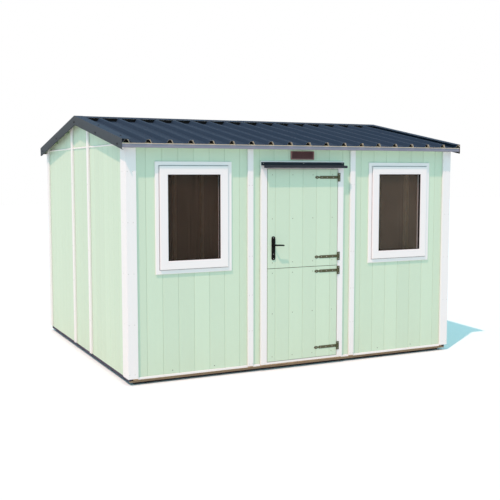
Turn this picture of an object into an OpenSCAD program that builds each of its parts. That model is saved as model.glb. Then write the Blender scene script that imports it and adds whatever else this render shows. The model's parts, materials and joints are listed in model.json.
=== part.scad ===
// Timber garden workshop with a stable door, two fixed windows and a low roof of
// box-profile steel sheets. Millimetres. X runs along the front, Y from front to back
// and Z up. The origin is on the ground under the middle of the floor.

/* [Overall size] */
// Length of the front, over the corner boards
front_length = 3556; // [3000:10:4400]
// Depth from front to back, over the corner boards
depth = 3030; // [2400:10:3600]
// Height of the walls, from the floor to the joint under the gables
wall_height = 2090; // [1740:10:2520]
// Slope of the roof, in degrees
roof_pitch = 10.25; // [8:0.25:14]

/* [Floor] */
// Height of the runners that carry the floor
runner_height = 25; // [15:1:60]
// Width of one runner
runner_width = 90; // [60:5:120]
// Number of runners
runner_count = 7; // [4:1:10]
// How far the runners stand back from the edge of the floor
runner_inset = 50; // [20:5:120]
// Thickness of the floor
floor_thickness = 35; // [18:1:50]

/* [Walls] */
// Thickness of the wall boards
board_thickness = 16; // [12:1:25]
// Width of a stud and depth of the framing
stud = 45; // [35:1:60]
// How far the corner boards and cover strips stand proud of the wall boards
trim_thickness = 20; // [12:1:30]
// Width of the corner boards on the long sides
corner_front_width = 96; // [60:1:140]
// Width of the front corner boards on the gable sides
corner_side_width = 154; // [80:1:200]
// Width of the back corner boards on the gable sides
corner_back_width = 80; // [60:1:140]
// Width of the cover strips over the panel joints
strip_width = 57; // [40:1:80]
// Distance of the long sides' cover strips from the middle
strip_offset = 565; // [540:1:700]
// Distance of the first gable cover strip from the front
gable_strip_first = 1241; // [900:1:1500]
// Distance between the two gable cover strips
gable_strip_spacing = 620; // [400:1:900]
// Height of the trim along the foot of the long walls
base_trim_height = 20; // [12:1:40]
// How far that trim reaches below the top of the floor
base_trim_drop = 10; // [0:1:15]
// Thickness of that trim
base_trim_thickness = 12; // [6:1:20]

/* [Windows] */
// Width of a window's sash
sash_width = 668; // [500:1:780]
// Height of a window's sash
sash_height = 930; // [700:1:1150]
// Width of the sash's own bars
sash_bar = 78; // [50:1:95]
// Depth of the sash, front to back
sash_depth = 60; // [40:1:70]
// How far the casing shows beyond the sash
casing_margin = 40; // [20:1:60]
// How far the casing stands proud of the wall boards
casing_proud = 13; // [8:1:40]
// How far the sash stands proud of the casing
sash_proud = 14; // [5:1:20]
// Height of a sash's lower edge above the floor
sash_sill_height = 966; // [700:1:1100]
// Distance of the left window from the middle of the front
left_window_offset = 1132; // [1100:1:1200]
// Distance of the right window from the middle of the front
right_window_offset = 1134; // [1090:1:1200]
// Thickness of the window panes
glass_thickness = 6; // [4:1:12]

/* [Door] */
// Width of the door leaves
leaf_width = 774; // [660:1:800]
// Thickness of the boards on the face of a leaf
leaf_board = 18; // [14:1:25]
// Thickness of the ledges and stiles behind them
leaf_ledge = 20; // [15:1:30]
// Width of those ledges and stiles
ledge_width = 95; // [60:1:120]
// Gap round each leaf
leaf_gap = 5; // [5:1:8]
// Height of the door sill
sill_height = 20; // [15:1:40]
// Height of the lower leaf
lower_leaf_height = 897; // [740:1:1080]
// Height of the upper leaf
upper_leaf_height = 942; // [780:1:960]
// Middle of the doorway, counted from the middle of the front
door_offset = -5; // [-30:1:30]
// Width of the door posts
post_width = 63; // [50:1:90]
// How far posts and leaves stand proud of the wall boards
door_proud = 28; // [22:1:40]
// Thickness of the lining through the wall
lining = 18; // [12:1:25]
// Height of the head over the door
head_height = 70; // [50:1:90]
// How far the stop reaches behind a leaf
stop_lap = 12; // [8:1:20]

/* [Door furniture] */
// Length of a hinge strap
strap_length = 260; // [180:1:320]
// Width of a hinge strap and of its oval end
strap_width = 28; // [20:1:40]
// Width of the strap's neck, beside the oval end
strap_neck = 15; // [10:1:22]
// Length of the strap's oval end
strap_end_length = 44; // [30:1:60]
// Height of a hinge plate
plate_height = 82; // [60:1:100]
// Width of a hinge plate
plate_width = 26; // [22:1:50]
// Thickness of the hinge steel
hinge_steel = 3; // [2:0.5:5]
// Radius of a hinge knuckle
knuckle_radius = 6; // [5:0.5:9]
// Radius of a hinge pin
pin_radius = 3; // [2:0.5:4]
// Clearance between pin and knuckle
pin_clearance = 0.3; // [0.2:0.1:0.6]
// Clearance between knuckles, end to end
knuckle_clearance = 0.5; // [0.3:0.1:1]
// Height of the handle plate
handle_plate_height = 228; // [160:1:260]
// Width of the handle plate
handle_plate_width = 38; // [30:1:50]
// Thickness of the handle plate
handle_plate_thickness = 7; // [3:1:10]
// Distance of the handle from the edge of the leaf
handle_backset = 60; // [45:1:80]
// Height of the handle plate's lower end above the joint between the leaves
handle_rise = 78; // [40:1:300]
// Length of the lever
lever_length = 92; // [80:1:140]
// Radius of the lever's bar
lever_radius = 9; // [6:0.5:11]
// How far the lever's bar stands out from the plate, to its middle
lever_reach = 50; // [30:1:55]

/* [Door hood and vent] */
// Length of the drip hood over the door
hood_length = 914; // [700:1:1000]
// Height of the hood's flange, which is screwed to the door head
hood_flange = 34; // [25:1:50]
// How far the hood's lip stands out from the door head
hood_reach = 65; // [30:1:80]
// Height of the hood's lip
hood_lip = 23; // [15:1:35]
// Thickness of the hood's metal
hood_metal = 2; // [1:0.5:4]
// Width of the vent over the door
vent_width = 254; // [150:1:320]
// Height of that vent
vent_height = 80; // [60:1:100]
// Number of its blades
vent_blades = 6; // [4:1:8]

/* [Roof] */
// Thickness of the purlins
purlin_thickness = 28; // [20:1:50]
// Width of the purlins
purlin_width = 45; // [35:1:70]
// Purlins on each slope
purlin_count = 4; // [3:1:6]
// Depth of the rafters
rafter_depth = 70; // [50:1:100]
// Thickness of the ridge board
ridge_board = 20; // [16:1:32]
// How far the roof reaches over the front and back
eaves_overhang = 72; // [50:1:150]
// How far the roof reaches over the gables
verge_overhang = 55; // [40:1:120]
// How far the sheets pass the eaves trim
sheet_lip = 8; // [5:1:40]
// Distance from rib to rib
rib_pitch = 200; // [150:1:250]
// Height of a rib
rib_height = 32; // [20:1:40]
// Width of a rib at its crest
rib_crest = 32; // [20:1:50]
// Width of a rib at its foot
rib_foot = 66; // [50:1:90]
// Distance of the first rib from the edge of the sheets
first_rib = 37; // [34:1:100]
// Thickness of the sheets and flashings
sheet_metal = 1.5; // [1:0.1:3]
// Width of each wing of the ridge cap
ridge_wing = 140; // [100:1:200]
// Depth of the verge flashing's face
verge_depth = 92; // [85:1:150]
// Width of the verge flashing's top flange
verge_flange = 92; // [85:1:150]
// Height of the eaves trim
eaves_trim_height = 36; // [32:1:60]

/* [Hidden] */

timber = "tan";
mint = "honeydew";
white = "whitesmoke";
slate = "darkslategray";
black = "dimgray";

// Overall
half_l = front_length / 2;
half_d = depth / 2;
floor_top = runner_height + floor_thickness;
wall_top = floor_top + wall_height;
slope = tan(roof_pitch);
cosine = cos(roof_pitch);

// Planes of the long walls, counted from the front inwards
face_y = -half_d + trim_thickness;
inner_y = face_y + board_thickness;
frame_y = inner_y + stud;

// The same planes of the gable walls, counted from the left inwards
face_x = -half_l + trim_thickness;
inner_x = face_x + board_thickness;
frame_x = inner_x + stud;

// Roof levels at the middle of the building, all on the front slope's line
seat_ridge = wall_top - frame_y * slope;
pan_ridge = seat_ridge + purlin_thickness / cosine;
crest_ridge = pan_ridge + (rib_height + sheet_metal) / cosine;
eave_y = -half_d - eaves_overhang;
verge_x = half_l + verge_overhang;
slope_length = (-eave_y + sheet_lip) / cosine;

// Windows
window_hole_fit = 0.5;
glass_fit = 0.5;
glass_rebate = 8;
sash_centre_z = floor_top + sash_sill_height + sash_height / 2;
casing_front_y = face_y - casing_proud;
sash_front_y = casing_front_y - sash_proud;

// Door
door_face_y = face_y - door_proud;
leaf_thickness = leaf_board + leaf_ledge;
doorway_half = leaf_width / 2 + leaf_gap;
lower_leaf_z = floor_top + sill_height + leaf_gap;
split_z = lower_leaf_z + lower_leaf_height;
upper_leaf_z = split_z + leaf_gap;
head_z = upper_leaf_z + upper_leaf_height + leaf_gap;
head_top = head_z + head_height;
leaf_left_x = door_offset - leaf_width / 2;
stop_y = door_face_y + leaf_thickness + leaf_gap;
stop_depth = 20;
hood_top = head_top - 5;
hood_fall = 3;

// Hinges
hinge_x = door_offset + leaf_width / 2 + leaf_gap / 2;
knuckle_stand = 0.5;
hinge_y = door_face_y - knuckle_radius - knuckle_stand;
knuckle_side = knuckle_radius + 1.5;
hinge_inset_upper = 88;
hinge_inset_top = 79;
hinge_inset_lower = 47;
hinge_inset_bottom = 93;
knuckle_length = plate_height / 3;
upper_hinges_z = [upper_leaf_z + hinge_inset_upper, upper_leaf_z + upper_leaf_height - hinge_inset_top];
lower_hinges_z = [lower_leaf_z + hinge_inset_bottom, lower_leaf_z + lower_leaf_height - hinge_inset_lower];

// Handle
handle_x = leaf_left_x + handle_backset;
handle_plate_z = upper_leaf_z + handle_rise + handle_plate_height / 2;
lever_z = handle_plate_z + 32;
keyhole_z = handle_plate_z - 55;
lever_fit = 0.3;

// Purlins and ridge cap stay this far from the sloping faces above or under them
seat_fit = 0.05;
// Boards that reach up to the roof sheets stay this far from the purlins between them
notch_fit = 0.5;

function seat_z(y) = seat_ridge - abs(y) * slope;
function under_sheet_z(y) = seat_z(y) + (purlin_thickness - seat_fit) / cosine;
function bays(count, from, to) = [for (i = [0 : count - 1]) from + i * (to - from) / (count - 1)];

// A box given by its low and high corners
module slab(low, high) {
    translate(low) cube(high - low);
}

// A YZ outline carried along X from one place to another
module along_x(from, to) {
    translate([from, 0, 0]) rotate([90, 0, 90]) linear_extrude(height = to - from) children();
}

// The same thing on the front and on the back
module both_sides() {
    children();
    mirror([0, 1, 0]) children();
}

// The same thing on the left and on the right
module both_ends() {
    children();
    mirror([1, 0, 0]) children();
}

// ---- Floor ----

module floor_deck() {
    color(timber) slab([face_x, face_y, runner_height], [-face_x, -face_y, floor_top]);
}

module floor_runners() {
    edge = -face_y - runner_inset - runner_width / 2;
    color(timber)
    for (y = bays(runner_count, -edge, edge))
        slab([face_x + runner_inset, y - runner_width / 2, 0],
             [-face_x - runner_inset, y + runner_width / 2, runner_height]);
}

// ---- Walls ----

// Section of a long wall's boards, with the top planed to the roof's slope
module long_wall_section(low) {
    polygon([[face_y, low], [inner_y, low], [inner_y, seat_z(inner_y)], [face_y, seat_z(face_y)]]);
}

module window_hole(centre_x) {
    half_w = sash_width / 2 + window_hole_fit;
    half_h = sash_height / 2 + window_hole_fit;
    slab([centre_x - half_w, face_y - 1, sash_centre_z - half_h],
         [centre_x + half_w, frame_y + 1, sash_centre_z + half_h]);
}

module front_wall_left() {
    color(mint) difference() {
        along_x(face_x, -strip_offset) long_wall_section(floor_top);
        window_hole(-left_window_offset);
    }
}

module front_wall_right() {
    color(mint) difference() {
        along_x(strip_offset, -face_x) long_wall_section(floor_top);
        window_hole(right_window_offset);
    }
}

module front_wall_beside_door() {
    reach = doorway_half + lining;
    top = head_z + lining;
    color(mint) {
        slab([-strip_offset, face_y, floor_top], [door_offset - reach, inner_y, top]);
        slab([door_offset + reach, face_y, floor_top], [strip_offset, inner_y, top]);
    }
}

module front_wall_over_door() {
    color(mint) along_x(-strip_offset, strip_offset) long_wall_section(head_z + lining);
}

module back_wall() {
    color(mint) mirror([0, 1, 0]) along_x(face_x, -face_x) long_wall_section(floor_top);
}

module side_wall_boards() {
    along_x(face_x, inner_x)
    polygon([[inner_y, floor_top], [-inner_y, floor_top], [-inner_y, seat_z(inner_y)],
             [-frame_y, wall_top], [frame_y, wall_top], [inner_y, seat_z(inner_y)]]);
}

module left_wall() {
    color(mint) side_wall_boards();
}

module right_wall() {
    color(mint) mirror([1, 0, 0]) side_wall_boards();
}

module gable_boards() {
    shoulder = under_sheet_z(frame_y);
    notched() along_x(face_x, inner_x)
    polygon([[frame_y, wall_top], [-frame_y, wall_top], [-frame_y, shoulder],
             [0, under_sheet_z(0)], [frame_y, shoulder]]);
}

module left_gable() {
    color(mint) gable_boards();
}

module right_gable() {
    color(mint) mirror([1, 0, 0]) gable_boards();
}

// ---- Framing ----

rail_top = wall_top - stud - 8;
rail_low = floor_top + stud;

module stud_x(x) {
    slab([x - stud / 2, inner_y, rail_low], [x + stud / 2, frame_y, rail_top]);
}

module stud_y(y) {
    slab([inner_x, y - stud / 2, rail_low], [frame_x, y + stud / 2, rail_top]);
}

window_stud_offset = sash_width / 2 + window_hole_fit + stud / 2;
door_stud_offset = doorway_half + lining + stud / 2;
corner_stud_x = inner_x + stud / 2;

module wall_studs() {
    color(timber) {
        for (x = [corner_stud_x, -left_window_offset - window_stud_offset,
                  -left_window_offset + window_stud_offset, door_offset - door_stud_offset,
                  door_offset + door_stud_offset, right_window_offset - window_stud_offset,
                  right_window_offset + window_stud_offset, -corner_stud_x])
            stud_x(x);
        mirror([0, 1, 0]) both_ends()
        for (x = [corner_stud_x, (corner_stud_x - strip_offset) / 2, -strip_offset, -strip_offset / 3])
            stud_x(x);
        both_ends()
        for (y = bays(6, frame_y + stud, -frame_y - stud))
            stud_y(y);
    }
}

// Sloping top rail and foot rail of a long wall
module top_rail_section() {
    polygon([[inner_y, rail_top], [frame_y, rail_top], [frame_y, wall_top], [inner_y, seat_z(inner_y)]]);
}

module foot_rail(from, to) {
    slab([from, inner_y, floor_top], [to, frame_y, rail_low]);
}

module window_rails(centre_x) {
    half_w = sash_width / 2 + window_hole_fit;
    half_h = sash_height / 2 + window_hole_fit;
    for (z = [sash_centre_z - half_h - stud, sash_centre_z + half_h])
        slab([centre_x - half_w, inner_y, z], [centre_x + half_w, frame_y, z + stud]);
}

module long_wall_rails() {
    reach = doorway_half + lining;
    color(timber) {
        both_sides() along_x(inner_x, -inner_x) top_rail_section();
        foot_rail(inner_x, door_offset - reach);
        foot_rail(door_offset + reach, -inner_x);
        mirror([0, 1, 0]) foot_rail(inner_x, -inner_x);
        window_rails(-left_window_offset);
        window_rails(right_window_offset);
    }
}

module side_wall_rails() {
    color(timber) both_ends() {
        slab([inner_x, frame_y, floor_top], [frame_x, -frame_y, rail_low]);
        slab([inner_x, frame_y, rail_top], [frame_x, -frame_y, wall_top]);
    }
}

// ---- Roof carcass ----

// Middle rafters butt on the top rails; the end ones stand on the gable walls' rails
module rafters() {
    low = rafter_depth / cosine;
    end = ridge_board / 2;
    color(timber) both_sides() {
        for (x = [-strip_offset, strip_offset])
            along_x(x - stud / 2, x + stud / 2)
            polygon([[frame_y, wall_top - low], [frame_y, wall_top],
                     [-end, seat_z(end)], [-end, seat_z(end) - low]]);
        both_ends() along_x(inner_x, frame_x)
        polygon([[frame_y, wall_top], [-end, seat_z(end)], [-end, seat_z(end) - low],
                 [frame_y + low / slope, wall_top]]);
    }
}

module ridge_beam() {
    half = ridge_board / 2;
    depth_down = rafter_depth / cosine + 15;
    color(timber) along_x(inner_x, -inner_x)
    polygon([[-half, seat_z(half) - depth_down], [half, seat_z(half) - depth_down],
             [half, seat_z(half)], [0, seat_ridge], [-half, seat_z(half)]]);
}

// Places something on the front slope: x stays, y runs up the slope from the eave, z is square to it
module on_slope() {
    translate([0, eave_y, seat_z(eave_y)]) rotate([roof_pitch, 0, 0]) children();
}

rise_length = -eave_y / cosine;
purlin_end = verge_x - sheet_metal;
purlin_first = sheet_metal / cosine + purlin_thickness * slope;
purlin_last = rise_length - purlin_width - purlin_thickness * slope;

// One bar for each purlin, wider than it by a fit on both sides
module purlin_bars(side_fit, low, high) {
    both_sides() on_slope()
    for (y = bays(purlin_count, purlin_first, purlin_last))
        translate([-purlin_end, y - side_fit, low])
        cube([2 * purlin_end, purlin_width + 2 * side_fit, high - low]);
}

module purlins() {
    color(timber) purlin_bars(0, seat_fit, purlin_thickness - seat_fit);
}

// Cuts open notches for the purlins in what reaches up between them to the sheets
module notched() {
    difference() {
        children();
        purlin_bars(notch_fit, 0, 2 * purlin_thickness);
    }
}

// Timber that closes the space between the wall and the eave's edge
verge_return = 14;
fillet_low = seat_z(eave_y) - (eaves_trim_height - purlin_thickness / cosine);
module eaves_fillets() {
    edge = eave_y + sheet_metal;
    color(timber)
    both_sides() along_x(face_x, -face_x)
    polygon([[edge, fillet_low], [face_y, fillet_low], [face_y, seat_z(face_y)], [edge, seat_z(edge)]]);
}

// ---- Roof sheets and flashings ----

sheet_half = verge_x - sheet_metal;
rib_count = floor((2 * sheet_half - first_rib) / rib_pitch) + 1;

// Outline of the sheet's top from left to right, one rib after another
function rib_line(raise) = [
    for (i = [0 : rib_count - 1], k = [0 : 3])
        let (middle = first_rib - sheet_half + i * rib_pitch,
             reach = (k == 0 || k == 3) ? rib_foot / 2 : rib_crest / 2,
             side = k < 2 ? -1 : 1,
             up = (k == 0 || k == 3) ? 0 : rib_height)
        [middle + side * reach, up + raise]
];
function backwards(points) = [for (i = [len(points) - 1 : -1 : 0]) points[i]];

module sheet_outline() {
    right = sheet_half + rib_foot;
    polygon(concat(
        [[-sheet_half, sheet_metal]], rib_line(sheet_metal), [[right, sheet_metal]],
        [[right, 0]], backwards(rib_line(0)), [[-sheet_half, 0]]));
}

// One slope's sheet, cut off square at both verges, if need be through a rib
sheet_start = 12;
module roof_sheet() {
    translate([0, 0, pan_ridge])
    rotate([roof_pitch, 0, 0])
    rotate([90, 0, 0])
    translate([0, 0, sheet_start])
    intersection() {
        linear_extrude(height = slope_length - sheet_start) sheet_outline();
        slab([-sheet_half, -1, -1], [sheet_half, rib_height + 2 * sheet_metal, slope_length]);
    }
}

module front_roof_sheet() {
    color(slate) roof_sheet();
}

module back_roof_sheet() {
    color(slate) mirror([0, 1, 0]) roof_sheet();
}

// Folded cap that lies on the rib crests on both slopes
module ridge_cap() {
    run = ridge_wing * cosine;
    under = crest_ridge + seat_fit;
    over = under + sheet_metal / cosine;
    color(slate) along_x(-sheet_half, sheet_half)
    polygon([[-run, under - run * slope], [0, under], [run, under - run * slope],
             [run, over - run * slope], [0, over], [-run, over - run * slope]]);
}

// Folded flashing over the sheet's edge and down over the purlins' ends, front slope
module verge_flashing_slope() {
    top = rib_height + 3 * sheet_metal + 2 * seat_fit;
    seam = 0.4;
    far = slope_length * cosine;
    intersection() {
        translate([0, 0, pan_ridge])
        rotate([roof_pitch, 0, 0])
        rotate([90, 0, 0])
        translate([0, 0, -verge_depth])
        linear_extrude(height = slope_length + 2 * verge_depth)
        polygon([[-verge_x, top], [-verge_x, top - verge_depth],
                 [-verge_x + verge_return, top - verge_depth],
                 [-verge_x + verge_return, top - verge_depth + sheet_metal],
                 [-verge_x + sheet_metal, top - verge_depth + sheet_metal],
                 [-verge_x + sheet_metal, top - sheet_metal], [-verge_x + verge_flange, top - sheet_metal],
                 [-verge_x + verge_flange, top]]);
        slab([-verge_x - 1, -far, 0], [0, -seam, 2 * crest_ridge]);
    }
}

module left_verge_flashing() {
    color(slate) both_sides() verge_flashing_slope();
}

module right_verge_flashing() {
    color(slate) mirror([1, 0, 0]) both_sides() verge_flashing_slope();
}

// Folded steel fascia on the eaves fillet, with a return under it
module eaves_trims() {
    under = fillet_low;
    top = seat_z(eave_y) + purlin_thickness / cosine;
    back = eave_y + 40;
    color("slategray")
    both_sides() along_x(-purlin_end, purlin_end)
    polygon([[eave_y, under - sheet_metal], [back, under - sheet_metal], [back, under],
             [eave_y + sheet_metal, under], [eave_y + sheet_metal, top], [eave_y, top]]);
}

// ---- Corner boards, cover strips and base trims ----

// A front board up to the eaves trim and a side board up to the roof sheets
module corner_board(side_width) {
    side_edge = -half_d + side_width;
    slab([-half_l, -half_d, floor_top], [-half_l + corner_front_width, face_y, fillet_low - sheet_metal]);
    notched() along_x(-half_l, face_x)
    polygon([[-half_d, floor_top], [side_edge, floor_top],
             [side_edge, under_sheet_z(side_edge)], [-half_d, under_sheet_z(half_d)]]);
}

module corner_boards() {
    color(white) both_ends() {
        corner_board(corner_side_width);
        mirror([0, 1, 0]) corner_board(corner_back_width);
    }
}

module long_side_strips() {
    top = fillet_low - sheet_metal;
    color(white) both_sides() both_ends()
        slab([strip_offset - strip_width / 2, -half_d, floor_top],
             [strip_offset + strip_width / 2, face_y, top]);
}

gable_strips_y = [-half_d + gable_strip_first, -half_d + gable_strip_first + gable_strip_spacing];

// A cover strip up a gable to the roof sheets, its top cut to the roof's slope
module gable_strip(y) {
    low = y - strip_width / 2;
    high = y + strip_width / 2;
    notched() along_x(-half_l, face_x)
    polygon([[low, floor_top], [high, floor_top], [high, under_sheet_z(high)], [low, under_sheet_z(low)]]);
}

module gable_strips() {
    color(white) both_ends() for (y = gable_strips_y) gable_strip(y);
}

module base_trim(from, to) {
    low = floor_top - base_trim_drop;
    slab([from, face_y - base_trim_thickness, low], [to, face_y, low + base_trim_height]);
}

module base_trims() {
    corner = half_l - corner_front_width;
    strip_out = strip_offset + strip_width / 2;
    strip_in = strip_offset - strip_width / 2;
    post_out = doorway_half + post_width;
    color(white) {
        both_sides() both_ends() base_trim(strip_out, corner);
        base_trim(-strip_in, door_offset - post_out);
        base_trim(door_offset + post_out, strip_in);
        mirror([0, 1, 0]) base_trim(-strip_in, strip_in);
    }
}

// ---- Windows ----

module ring(centre_x, width, height, bar, front, back) {
    difference() {
        slab([centre_x - width / 2, front, sash_centre_z - height / 2],
             [centre_x + width / 2, back, sash_centre_z + height / 2]);
        slab([centre_x - width / 2 + bar, front - 1, sash_centre_z - height / 2 + bar],
             [centre_x + width / 2 - bar, back + 1, sash_centre_z + height / 2 - bar]);
    }
}

module window_casing(centre_x) {
    width = sash_width + 2 * casing_margin;
    height = sash_height + 2 * casing_margin;
    color(white) ring(centre_x, width, height, casing_margin - window_hole_fit, casing_front_y, face_y);
}

// A sash with a rebate that takes the pane
module window_sash(centre_x) {
    front = sash_front_y;
    rebate = sash_bar - glass_rebate;
    middle = front + sash_depth / 2;
    color(white) difference() {
        ring(centre_x, sash_width, sash_height, sash_bar, front, front + sash_depth);
        slab([centre_x - sash_width / 2 + rebate, middle, sash_centre_z - sash_height / 2 + rebate],
             [centre_x + sash_width / 2 - rebate, middle + glass_thickness + 2 * glass_fit,
              sash_centre_z + sash_height / 2 - rebate]);
    }
}

module window_pane(centre_x) {
    front = sash_front_y + sash_depth / 2 + glass_fit;
    half_w = sash_width / 2 - sash_bar + glass_rebate - glass_fit;
    half_h = sash_height / 2 - sash_bar + glass_rebate - glass_fit;
    color("slategray", 0.4)
    slab([centre_x - half_w, front, sash_centre_z - half_h],
         [centre_x + half_w, front + glass_thickness, sash_centre_z + half_h]);
}

module left_window_casing() {
    window_casing(-left_window_offset);
}

module left_window_sash() {
    window_sash(-left_window_offset);
}

module left_window_pane() {
    window_pane(-left_window_offset);
}

module right_window_casing() {
    window_casing(right_window_offset);
}

module right_window_sash() {
    window_sash(right_window_offset);
}

module right_window_pane() {
    window_pane(right_window_offset);
}

// ---- Door frame ----

// Section of the right post: casing and lining in one piece
module post_section() {
    translate([doorway_half, 0])
    polygon([[0, door_face_y], [post_width, door_face_y], [post_width, face_y], [lining, face_y],
             [lining, frame_y], [0, frame_y]]);
}

module door_posts() {
    color(white) translate([door_offset, 0, 0]) both_ends() {
        translate([0, 0, floor_top]) linear_extrude(height = head_z - floor_top) post_section();
        slab([doorway_half - stop_lap, stop_y, floor_top + sill_height],
             [doorway_half, stop_y + stop_depth, head_z]);
    }
}

module door_head_and_sill() {
    color(white) {
        along_x(door_offset - doorway_half - post_width, door_offset + doorway_half + post_width)
        polygon([[door_face_y, head_z], [face_y, head_z], [face_y, head_top], [door_face_y, head_top]]);
        slab([door_offset - doorway_half - lining, face_y, head_z],
             [door_offset + doorway_half + lining, frame_y, head_z + lining]);
        slab([door_offset - doorway_half, door_face_y, floor_top],
             [door_offset + doorway_half, frame_y, floor_top + sill_height]);
    }
}

// Folded drip strip: flange on the door head, shelf that falls a little, and lip
module door_hood() {
    back = door_face_y;
    lip = back - hood_reach;
    m = hood_metal;
    fold = hood_top - hood_flange;
    edge = fold - hood_fall;
    color(black) along_x(door_offset - hood_length / 2, door_offset + hood_length / 2)
    polygon([[back, hood_top], [back - m, hood_top], [back - m, fold], [lip, edge], [lip, edge - hood_lip],
             [lip + m, edge - hood_lip], [lip + m, edge - m], [back, fold - m]]);
}

module door_vent() {
    middle_z = (head_top + fillet_low) / 2;
    frame = 10;
    deep = 12;
    step = (vent_height - 2 * frame) / vent_blades;
    low = middle_z - vent_height / 2;
    left = door_offset - vent_width / 2;
    color(black) {
        difference() {
            slab([left, face_y - deep, low], [left + vent_width, face_y, low + vent_height]);
            slab([left + frame, face_y - deep - 1, low + frame],
                 [left + vent_width - frame, face_y - 2, low + vent_height - frame]);
        }
        for (i = [0 : vent_blades - 1])
            translate([0, 0, low + frame + i * step])
            along_x(left + frame - 1, left + vent_width - frame + 1)
            polygon([[face_y - deep + 2, 1.5], [face_y - 1, step - 4], [face_y - 1, step - 1.5],
                     [face_y - deep + 2, 4]]);
    }
}

// ---- Hinges ----

module knuckle(low, high) {
    translate([hinge_x, hinge_y, low]) cylinder(r = knuckle_radius, h = high - low, $fn = 32);
}

module hinge_pin(z) {
    translate([hinge_x, hinge_y, z - plate_height / 2]) cylinder(r = pin_radius, h = plate_height, $fn = 32);
}

// Plate on the post, with the upper and lower knuckle and the pin between them
module hinge_plate(z) {
    low = z - plate_height / 2;
    high = z + plate_height / 2;
    half = knuckle_length / 2;
    slab([hinge_x + knuckle_side, door_face_y - hinge_steel, low],
         [hinge_x + plate_width, door_face_y, high]);
    for (span = [[low, z - half], [z + half, high]]) {
        knuckle(span[0], span[1]);
        slab([hinge_x, door_face_y - hinge_steel, span[0]],
             [hinge_x + plate_width, door_face_y, span[1]]);
    }
    hinge_pin(z);
}

module hinge_plates() {
    color("darkolivegreen")
    for (z = concat(lower_hinges_z, upper_hinges_z)) hinge_plate(z);
}

// Outline of a strap, from its tip at 0: oval end, neck, and a bar with sloping shoulders
module strap_outline(reach) {
    oval = strap_end_length / 2;
    shoulder = strap_end_length + strap_neck / 2;
    slant = (strap_width - strap_neck) / 2;
    translate([oval, 0]) scale([oval / strap_width * 2, 1]) circle(d = strap_width, $fn = 48);
    translate([oval, -strap_neck / 2]) square([shoulder - oval + slant, strap_neck]);
    polygon([[shoulder, -strap_neck / 2], [shoulder + slant, -strap_width / 2], [reach, -strap_width / 2],
             [reach, strap_width / 2], [shoulder + slant, strap_width / 2], [shoulder, strap_neck / 2]]);
}

// Strap on a leaf, with one knuckle round the pin
module hinge_strap(z) {
    half = knuckle_length / 2 - knuckle_clearance;
    translate([hinge_x - strap_length, door_face_y, z]) rotate([90, 0, 0])
    linear_extrude(height = hinge_steel) strap_outline(strap_length - knuckle_side);
    difference() {
        union() {
            knuckle(z - half, z + half);
            slab([hinge_x - knuckle_side, door_face_y - hinge_steel, z - half],
                 [hinge_x, door_face_y, z + half]);
        }
        translate([hinge_x, hinge_y, z - plate_height / 2])
        cylinder(r = pin_radius + pin_clearance, h = plate_height, $fn = 32);
    }
}

module upper_leaf_straps() {
    color("darkolivegreen") for (z = upper_hinges_z) hinge_strap(z);
}

module lower_leaf_straps() {
    color("darkolivegreen") for (z = lower_hinges_z) hinge_strap(z);
}

// ---- Door leaves ----

// Boards in front, with a frame of ledges and stiles and a brace behind
module leaf(low, height) {
    left = leaf_left_x;
    right = leaf_left_x + leaf_width;
    back = door_face_y + leaf_board;
    far = door_face_y + leaf_thickness;
    slab([left, door_face_y, low], [right, back, low + height]);
    for (z = [low, low + height - ledge_width])
        slab([left, back, z], [right, far, z + ledge_width]);
    for (x = [left, right - ledge_width])
        slab([x, back, low], [x + ledge_width, far, low + height]);
    inner_left = left + ledge_width;
    inner_right = right - ledge_width;
    inner_top = low + height - ledge_width;
    translate([0, far, 0]) rotate([90, 0, 0]) linear_extrude(height = leaf_ledge)
    polygon([[inner_right, low + ledge_width], [inner_right, low + 2 * ledge_width],
             [inner_left, inner_top], [inner_left, inner_top - ledge_width]]);
}

module upper_leaf() {
    color(mint) leaf(upper_leaf_z, upper_leaf_height);
}

module lower_leaf() {
    color(mint) leaf(lower_leaf_z, lower_leaf_height);
}

// ---- Handle ----

module handle_plate() {
    half = handle_plate_height / 2 - handle_plate_width / 2;
    color(black)
    translate([handle_x, door_face_y, handle_plate_z]) rotate([90, 0, 0])
    linear_extrude(height = handle_plate_thickness) difference() {
        union() {
            square([handle_plate_width, 2 * half], center = true);
            for (side = [-1, 1]) translate([0, side * half]) circle(d = handle_plate_width, $fn = 48);
        }
        translate([0, keyhole_z - handle_plate_z]) circle(d = 9, $fn = 24);
    }
}

// Round neck that stands on the plate, and the bar that the hand presses down
module door_lever() {
    foot = door_face_y - handle_plate_thickness - lever_fit;
    bar = door_face_y - handle_plate_thickness - lever_reach;
    color(black) {
        translate([handle_x, foot, lever_z]) rotate([90, 0, 0])
        cylinder(r = lever_radius + 3, h = 6, $fn = 32);
        translate([handle_x, foot, lever_z]) rotate([90, 0, 0])
        cylinder(r = lever_radius, h = foot - bar, $fn = 32);
        translate([handle_x, bar, lever_z]) sphere(r = lever_radius, $fn = 32);
        translate([handle_x, bar, lever_z]) rotate([0, 90, 0])
        cylinder(r = lever_radius, h = lever_length - lever_radius, $fn = 32);
        translate([handle_x + lever_length - lever_radius, bar, lever_z]) sphere(r = lever_radius, $fn = 32);
    }
}

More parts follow.
